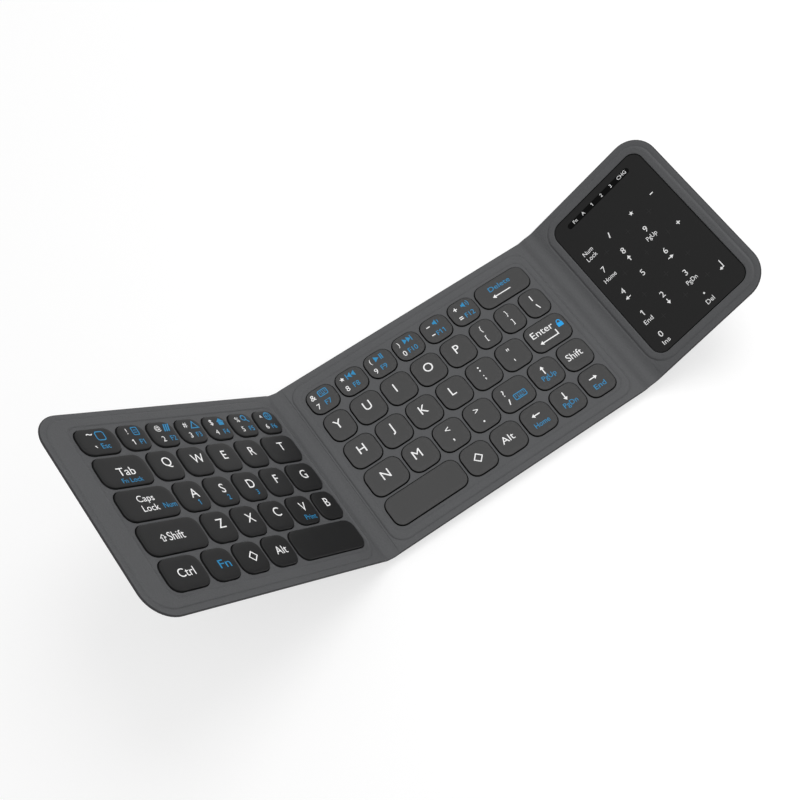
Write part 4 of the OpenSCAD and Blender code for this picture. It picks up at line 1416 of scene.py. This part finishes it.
# Each group of legends: ink, capital height, and then the text or mark, its middle's x and y, and a width
# where a word is set to one. A mark keeps its own size
LEGENDS = {
    "middle": (
        ("white", LETTER, (
            ("Y", -56.3, 18.4), ("U", -40.1, 18.5), ("I", -24.6, 18.5), ("O", -5.8, 18.5),
            ("P", 10.7, 18.6), ("H", -54.4, 2.0), ("J", -37.6, 2.1), ("K", -20.2, 2.1),
            ("L", -3.7, 2.1), ("N", -52.6, -14.5), ("M", -35.3, -14.5),
        )),
        ("white", DIGIT, (
            ("&", -58.7, 35.9), ("7", -58.6, 30.7), ("*", -42.4, 36.1), ("8", -42.6, 30.8),
            ("(", -26.5, 35.8), ("9", -26.7, 30.6), (")", -10.6, 35.8), ("0", -10.4, 30.6),
            ("_", 6.3, 35.6), ("-", 6.3, 30.8), ("+", 22.3, 35.9), ("=", 22.3, 30.6),
        )),
        ("white", SIGN, (
            ("{", 26.1, 20.3), ("[", 25.9, 15.0), ("}", 41.1, 20.3), ("]", 41.2, 15.0),
            ("|", 55.6, 20.2), ("\\", 56.1, 14.9), (":", 12.9, 3.9), (";", 12.9, -1.1),
            ('"', 29.9, 4.4), ("'", 29.7, -1.8), ("<", -17.2, -12.6), (",", -17.4, -18.6),
            (">", -0.8, -12.4), (".", -0.7, -18.9), ("?", 14.6, -12.8), ("/", 14.6, -17.9),
            ("Enter", 49.2, 3.3, 12.2), ("Shift", 53.9, -15.4, 8.5), ("Alt", 2.8, -31.9, 6.7),
        )),
        ("white", None, (
            ("long_left", 46.3, 30.9), ("bent_left", 49.7, -1.1), ("upward", 37.0, -13.6),
            ("to_left", 20.3, -30.0), ("downward", 37.0, -29.9), ("to_right", 53.6, -30.0),
            ("diamond", -13.7, -31.9),
        )),
        ("blue", LABEL, (
            ("F7", -53.4, 30.7), ("F8", -37.8, 30.7), ("F9", -22.2, 30.7), ("F10", -5.8, 30.7),
            ("F11", 10.3, 30.6), ("F12", 27.2, 30.6), ("Delete", 47.7, 35.3, 12.0),
            ("PgUp", 37.7, -17.8, 7.6), ("Home", 20.6, -34.6, 8.0), ("PgDn", 37.4, -34.5, 7.6),
            ("End", 54.2, -34.6, 6.2),
        )),
        ("blue", None, (
            ("keyboard", -53.3, 36.0), ("back", -37.7, 36.1), ("play", -22.1, 36.1),
            ("onward", -5.6, 36.1), ("quiet", 11.0, 36.1), ("loud", 27.6, 36.1),
            ("wide_keyboard", 20.9, -17.4),
        )),
        ("bright", None, (("lock", 58.7, 2.0),)),
    ),
    "left": (
        ("white", LETTER, (
            ("Q", -86.5, 18.5), ("W", -69.1, 18.4), ("E", -53.4, 18.4), ("R", -36.2, 18.4),
            ("T", -16.7, 18.7), ("A", -83.3, 2.0), ("S", -66.9, 2.0), ("D", -49.9, 2.0),
            ("F", -33.5, 2.2), ("G", -15.3, 2.2), ("Z", -80.1, -14.3), ("X", -63.0, -14.4),
            ("C", -46.3, -14.1), ("V", -29.4, -14.1), ("B", -13.4, -14.1),
        )),
        ("white", DIGIT, (
            ("~", -115.6, 36.6), ("`", -115.7, 30.3), ("!", -96.4, 36.2), ("1", -96.1, 30.6),
            ("@", -79.7, 35.9), ("2", -79.7, 30.4), ("#", -63.9, 36.1), ("3", -63.9, 30.7),
            ("$", -48.3, 35.9), ("4", -48.3, 30.6), ("%", -31.9, 36.0), ("5", -31.9, 30.6),
            ("^", -16.3, 36.4), ("6", -16.3, 30.6),
        )),
        ("white", WORD, (
            ("Tab", -109.3, 17.0, 8.8), ("Shift", -105.5, -15.5, 8.5), ("Ctrl", -111.9, -32.0, 8.5),
            ("Alt", -58.3, -32.0, 6.7),
        )),
        ("white", STACKED_WORD, (("Caps", -108.7, 2.8, 8.6), ("Lock", -108.7, -1.4, 8.4))),
        ("white", None, (("shift_arrow", -112.2, -15.7), ("diamond", -74.9, -32.0))),
        ("blue", LABEL, (
            ("Esc", -110.7, 30.4), ("F1", -91.5, 30.4), ("F2", -74.3, 30.4), ("F3", -59.2, 30.7),
            ("F4", -42.7, 30.6), ("F5", -26.6, 30.6), ("F6", -11.9, 30.4), ("Num", -98.7, -1.4, 6.6),
            ("1", -83.3, -2.7), ("2", -66.2, -2.7), ("3", -48.9, -2.7), ("Print", -28.8, -19.6, 7.0),
        )),
        ("blue", SMALL, (("Fn Lock", -108.7, 12.6, 10.6),)),
        ("blue", WORD, (("Fn", -91.4, -32.2, 6.1),)),
        ("blue", None, (
            ("screen", -110.5, 35.5), ("page", -92.0, 36.0), ("slats", -74.7, 36.0),
            ("peak", -59.1, 35.9), ("house", -42.8, 36.0), ("lens", -27.2, 36.2),
            ("globe", -11.9, 36.2),
        )),
    ),
}
TOUCH_LEGENDS = (
    ("white", TOUCH_DIGIT, (
        ("/", 27.4, 19.2), ("*", 41.8, 19.3), ("-", 54.9, 19.4), ("7", 14.7, 8.8), ("8", 27.4, 8.8),
        ("9", 41.8, 8.8), ("+", 54.8, -0.1), ("4", 14.7, -5.7), ("5", 27.4, -5.7), ("6", 41.8, -5.7),
        ("1", 14.7, -20.1), ("2", 27.4, -20.1), ("3", 41.8, -20.1), ("0", 14.7, -33.4),
        (".", 41.8, -33.4),
    )),
    ("white", SMALL, (
        ("Num", 14.7, 20.9, 5.6), ("Lock", 14.7, 17.6, 5.9), ("Home", 14.7, 3.7, 7.0),
        ("PgUp", 41.8, 3.9, 5.8), ("End", 14.8, -24.6, 4.9), ("PgDn", 41.8, -25.1, 5.8),
        ("Ins", 14.6, -37.7, 3.9), ("Del", 41.8, -37.7, 4.2),
    )),
    ("white", None, (
        ("small_up", 27.4, 4.1), ("small_left", 14.7, -9.8), ("small_right", 41.8, -9.8),
        ("small_down", 27.4, -24.6), ("bent_small", 55.2, -28.8),
    )),
    ("faint", None, [("cross_tick", x, y) for x in (21.2, 35.0, 48.5) for y in (13.9, 0.0, -14.1, -28.0)]),
)
WINDOW_Y = 36.65
WINDOW_SIGNS = {"Fn": 19.9, "A": 25.2, "1": 31.0, "2": 37.2, "3": 43.3, "CHG": 50.4}
WINDOW_LEGENDS = (("white", WINDOW_SIGN, [(text, x, WINDOW_Y) for text, x in WINDOW_SIGNS.items()]),)


def make_print(name, panel, height, table, boxes=None):
    """One piece with every legend of a table, or with those whose middle lies on one of some keycaps."""
    parts, index, used = [], [], []
    for ink, size, legends in table:
        for text, x, y, *width in legends:
            if boxes is None or any(abs(x - bx) < w / 2 and abs(y - by) < d / 2 for bx, by, w, d in boxes):
                parts.append(printed(text, x, y, size, *width))
                if ink not in used:
                    used.append(ink)
                index += [used.index(ink)] * len(parts[-1][1])
    if not parts:
        return None
    verts, faces = joined(parts)
    verts[:, 2] = height - INK_LOW + verts[:, 2] * (INK_HIGH + INK_LOW)
    piece = new_piece(name, to_row(panel, verts), faces, [print_ink(ink) for ink in used], smooth=False)
    piece.data.polygons.foreach_set("material_index", index)
    return piece


# ---------------------------------------------------------------- stage

WHITE = (1.0, 1.0, 1.0, 1.0)

# The floor's half side, corner size, underside and top, in millimetres, and the size of its blots
FLOOR_HALF, FLOOR_CORNER, FLOOR_UNDER, FLOOR_TOP = 1000.0, 400.0, -20.0, -0.02
FLOOR_BLOTS = 300.0

# Each lamp's place and width in metres, and the place that they shine at
LAMPS = {"key_light": ((0.5, 0.4, 1.3), 0.9), "fill_light": ((0.9, -0.5, 0.9), 1.0)}
LAMP_TARGET = (0.0, 0.0, 0.03)

# The camera's place in metres, and where its right side and its lens point
CAMERA_PLACE = (-0.17309, -0.20808, 0.5617)
CAMERA_RIGHT = (0.82086, -0.57105, -0.00929)
CAMERA_FORWARD = (0.23851, 0.35754, -0.90293)
# Its lens and its sensor's width in millimetres, and how near it sees in metres
LENS = 60.05
SENSOR = 36.0
CLIP_START = 0.01


def pale_floor():
    """A pale floor that keeps shadows: to the camera a share of it is its own white, the rest is lit."""
    f = Finish("pale_floor")
    base = f.tinted(f.noise(FLOOR_BLOTS), looks().floor_colour, 0.99, 1.0)
    f.set(Base_Color=base, Roughness=0.9, Specular_IOR_Level=0.1)
    glow = f.node("ShaderNodeEmission", Color=WHITE, Strength=looks().floor_glow)
    path = f.node("ShaderNodeLightPath")
    seen = f.value(path, "Is Camera Ray") + f.value(path, "Is Glossy Ray")
    light = f.mixed_light(seen.clamped() * looks().floor_share, f.shader, glow)
    plug(f.tree, f.tree.nodes["Material Output"].inputs["Surface"], light)
    return f.material


def make_floor():
    """A wide round-cornered slab just under the keyboard."""
    outline = rounded(-FLOOR_HALF, FLOOR_HALF, -FLOOR_HALF, FLOOR_HALF, FLOOR_CORNER)
    verts, faces = lofted([ring_at(outline, z) for z in (FLOOR_UNDER, FLOOR_TOP)])
    floor = new_piece("floor", verts * MM, faces, [pale_floor()])


def make_sky():
    """Light from all round: full overhead, and less towards the horizon by the height of its direction."""
    world = bpy.data.worlds.new("studio")
    bpy.context.scene.world = world
    world.use_nodes = True
    world.node_tree.nodes.clear()
    sky = Shading(world.node_tree)
    place = sky.node("ShaderNodeTexCoord")
    split = sky.node("ShaderNodeSeparateXYZ", Vector=place.outputs["Generated"])
    strength = sky.value(split, "Z").clamped() * (1 - looks().horizon) + looks().horizon
    light = sky.node("ShaderNodeBackground", Color=WHITE, Strength=strength * looks().sky_light)
    seen = sky.node("ShaderNodeBackground", Color=WHITE)
    path = sky.node("ShaderNodeLightPath")
    sky.node("ShaderNodeOutputWorld", Surface=sky.mixed_light(path.outputs["Is Camera Ray"], light, seen))


def make_lamps():
    """Round soft lamps that leave no highlight of their own."""
    for name, (place, size) in LAMPS.items():
        data = bpy.data.lights.new(name, "AREA")
        data.shape = "DISK"
        data.size = size
        data.energy = getattr(looks(), name)
        lamp = bpy.data.objects.new(name, data)
        lamp.location = place
        lamp.visible_glossy = False
        lamp.rotation_euler = (Vector(LAMP_TARGET) - Vector(place)).to_track_quat("-Z", "Y").to_euler()
        bpy.context.scene.collection.objects.link(lamp)


def make_camera():
    """The camera, turned by its own three axes."""
    camera = bpy.data.objects.new("camera", bpy.data.cameras.new("camera"))
    camera.data.lens = LENS
    camera.data.sensor_width = SENSOR
    camera.data.clip_start = CLIP_START
    right = Vector(CAMERA_RIGHT).normalized()
    forward = Vector(CAMERA_FORWARD).normalized()
    turn = Matrix((right, right.cross(forward), -forward)).transposed().to_4x4()
    camera.matrix_world = Matrix.Translation(CAMERA_PLACE) @ turn
    scene = bpy.context.scene
    scene.collection.objects.link(camera)
    scene.camera = camera
    scene.view_settings.view_transform = "Standard"


# ---------------------------------------------------------------- the add-on


def colour(name, description, *default):
    """A colour that the sidebar offers."""
    return FloatVectorProperty(name=name, description=description, subtype="COLOR", size=3, default=default)


def length(name, description, default):
    """A length in metres that the sidebar offers."""
    return FloatProperty(name=name, description=description, unit="LENGTH", default=default)


def amount(name, description, default):
    """A number without a unit that the sidebar offers."""
    return FloatProperty(name=name, description=description, default=default)


class KeyboardLooks(PropertyGroup):
    """Sizes and colours of the keyboard and its stage"""

    leather_colour: colour("Leather", "Colour of the leather", 0.0905, 0.092, 0.0955)
    edge_colour: colour("Cut edge", "Colour of the dyed cut edge", 0.03, 0.03, 0.032)
    grain_size: length("Grain", "Size of the leather's grain", 0.0007)
    grain_depth: length("Grain depth", "Depth of the grain", 0.00009)
    crease_depth: length("Crease", "Depth of the crease round the raised border", 0.00012)
    key_colour: colour("Keycaps", "Colour of the keycaps", 0.014, 0.014, 0.0143)
    key_roughness: amount("Keycap roughness", "Roughness of the keycaps", 0.4)
    key_shine: amount("Keycap shine", "Specular level of the keycaps", 0.95)
    key_fillet: length("Keycap edge", "Rounding of a keycap's upper edge", 0.0003)
    key_gap: length("Key gap", "Gap around a keycap", 0.0004)
    bed_tuck: length("Bed tuck", "How far the leather of the key bed reaches under the border", 0.0003)
    glass_colour: colour("Glass", "Colour of the touch glass", 0.006, 0.006, 0.006)
    white_ink: colour("White print", "Colour of the white legends", 0.93, 0.93, 0.93)
    blue_ink: colour("Blue print", "Colour of the blue legends", 0.02, 0.25, 0.5)
    bright_ink: colour("Bright print", "Colour of the lock sign", 0.012, 0.36, 0.8)
    faint_ink: colour("Faint print", "Colour of the ticks on the glass", 0.012, 0.012, 0.012)
    glass_roughness: amount("Glass roughness", "Roughness of the touch glass", 0.3)
    floor_colour: colour("Floor", "Colour of the floor", 0.985, 0.985, 0.985)
    floor_share: amount("Floor share", "Share of the floor that shows its own white", 0.58)
    floor_glow: amount("Floor white", "Strength of the floor's own white", 1.09)
    sky_light: amount("Sky light", "Strength of the light from overhead", 0.95)
    horizon: amount("Horizon", "Share of the sky light that is left at the horizon", 0.05)
    key_light: amount("Key light", "Power of the main lamp, in watts", 8.0)
    fill_light: amount("Fill light", "Power of the fill lamp, in watts", 2.0)


class KEYBOARD_OT_covers(Operator):
    """Makes the leather covers of the three panels"""

    bl_idname = "keyboard.covers"
    bl_label = "Leather covers"

    def execute(self, context):
        for panel, body in PANEL_BODY.items():
            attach(make_cover(panel), body)
        return {"FINISHED"}


class KEYBOARD_OT_beds(Operator):
    """Makes the leather between the keys"""

    bl_idname = "keyboard.beds"
    bl_label = "Key beds"

    def execute(self, context):
        for panel in KEYED_PANELS:
            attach(make_bed(panel), PANEL_BODY[panel])
        return {"FINISHED"}


class KEYBOARD_OT_folds(Operator):
    """Makes the creased leather of both folds and the ribbon cables inside it"""

    bl_idname = "keyboard.folds"
    bl_label = "Folds"

    def execute(self, context):
        for side in FOLDS:
            for part in ("inner", "outer"):
                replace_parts(make_crease(side, part), "fold_strip_" + side)
                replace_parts(make_ribbon(side, part), "ribbon_" + side)
        return {"FINISHED"}


class KEYBOARD_OT_caps(Operator):
    """Makes the keycaps"""

    bl_idname = "keyboard.caps"
    bl_label = "Keycaps"

    def execute(self, context):
        for node in KEY_NODES:
            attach(make_caps(node), node)
        return {"FINISHED"}


class KEYBOARD_OT_switches(Operator):
    """Makes the rubber domes and the scissor clips under the keys"""

    bl_idname = "keyboard.switches"
    bl_label = "Domes and clips"

    def execute(self, context):
        for panel in KEYED_PANELS:
            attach(make_dome_sheet(panel), PANEL_BODY[panel])
        for node in KEY_NODES:
            make_domes(node)
            make_clips(node)
        return {"FINISHED"}


class KEYBOARD_OT_legends(Operator):
    """Prints the keycaps and the touch panel"""

    bl_idname = "keyboard.legends"
    bl_label = "Legends"

    def execute(self, context):
        for node in KEY_NODES:
            panel = KEY_PANEL[node]
            piece = make_print(named("print", node), panel, KEY_TOP, LEGENDS[panel], KEY_BOXES[node])
            if piece is not None:
                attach(piece, node)
        for name, node, table in (
            ("print_touch", "touch_glass", TOUCH_LEGENDS),
            ("print_window", "indicator_window", WINDOW_LEGENDS),
        ):
            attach(make_print(name, "right", node_box("right", node)[1][2], table), "right_wing")
        return {"FINISHED"}


class KEYBOARD_OT_inside(Operator):
    """Gives the parts that stay from the frame their finishes"""

    bl_idname = "keyboard.inside"
    bl_label = "Inner parts"

    def execute(self, context):
        steel = plain("brushed_steel", (0.5, 0.51, 0.52), 0.35, metallic=1.0, size=0.4)
        finishes = {
            ("tray", "key_frame"): tray_plastic(),
            ("backplate", "magnets", "charge_port"): steel,
            "membrane": printed_film(),
            "touch_board": plain("circuit_board", (0.015, 0.09, 0.05), 0.4),
            "battery": plain("battery_foil", (0.55, 0.56, 0.57), 0.4, metallic=1.0, size=3.0),
            "status_leds": plain("led_resin", (0.8, 0.8, 0.74), 0.3),
            "indicator_window": smoked_window(),
            "touch_glass": dark_glass(),
        }
        for name, node in NODES.items():
            for starts, finish in finishes.items():
                if name.startswith(starts):
                    for slot in node.material_slots:
                        slot.material = finish
        return {"FINISHED"}


class KEYBOARD_OT_stage(Operator):
    """Makes the floor, the lights and the camera"""

    bl_idname = "keyboard.stage"
    bl_label = "Stage"

    def execute(self, context):
        make_floor()
        make_sky()
        make_lamps()
        make_camera()
        return {"FINISHED"}


class VIEW3D_PT_keyboard(Panel):
    """Lists the pieces and their sizes and colours"""

    bl_label = "Folding keyboard"
    bl_space_type = "VIEW_3D"
    bl_region_type = "UI"
    bl_category = "Keyboard"

    def draw(self, context):
        for name in KeyboardLooks.__annotations__:
            self.layout.prop(context.scene.keyboard_looks, name)
        for operator in OPERATORS:
            self.layout.operator(operator.bl_idname)


OPERATORS = (
    KEYBOARD_OT_stage,
    KEYBOARD_OT_inside,
    KEYBOARD_OT_covers,
    KEYBOARD_OT_beds,
    KEYBOARD_OT_folds,
    KEYBOARD_OT_caps,
    KEYBOARD_OT_switches,
    KEYBOARD_OT_legends,
)
CLASSES = (KeyboardLooks, *OPERATORS, VIEW3D_PT_keyboard)


def register():
    """Adds the operators, the panel and the sizes and colours to Blender."""
    for cls in CLASSES:
        bpy.utils.register_class(cls)
    bpy.types.Scene.keyboard_looks = PointerProperty(type=KeyboardLooks)


def unregister():
    """Takes them out again."""
    del bpy.types.Scene.keyboard_looks
    for cls in reversed(CLASSES):
        bpy.utils.unregister_class(cls)


def main():
    """Makes every piece."""
    register()
    for operator in OPERATORS:
        group, name = operator.bl_idname.split(".")
        getattr(getattr(bpy.ops, group), name)()


if __name__ == "__main__":
    main()
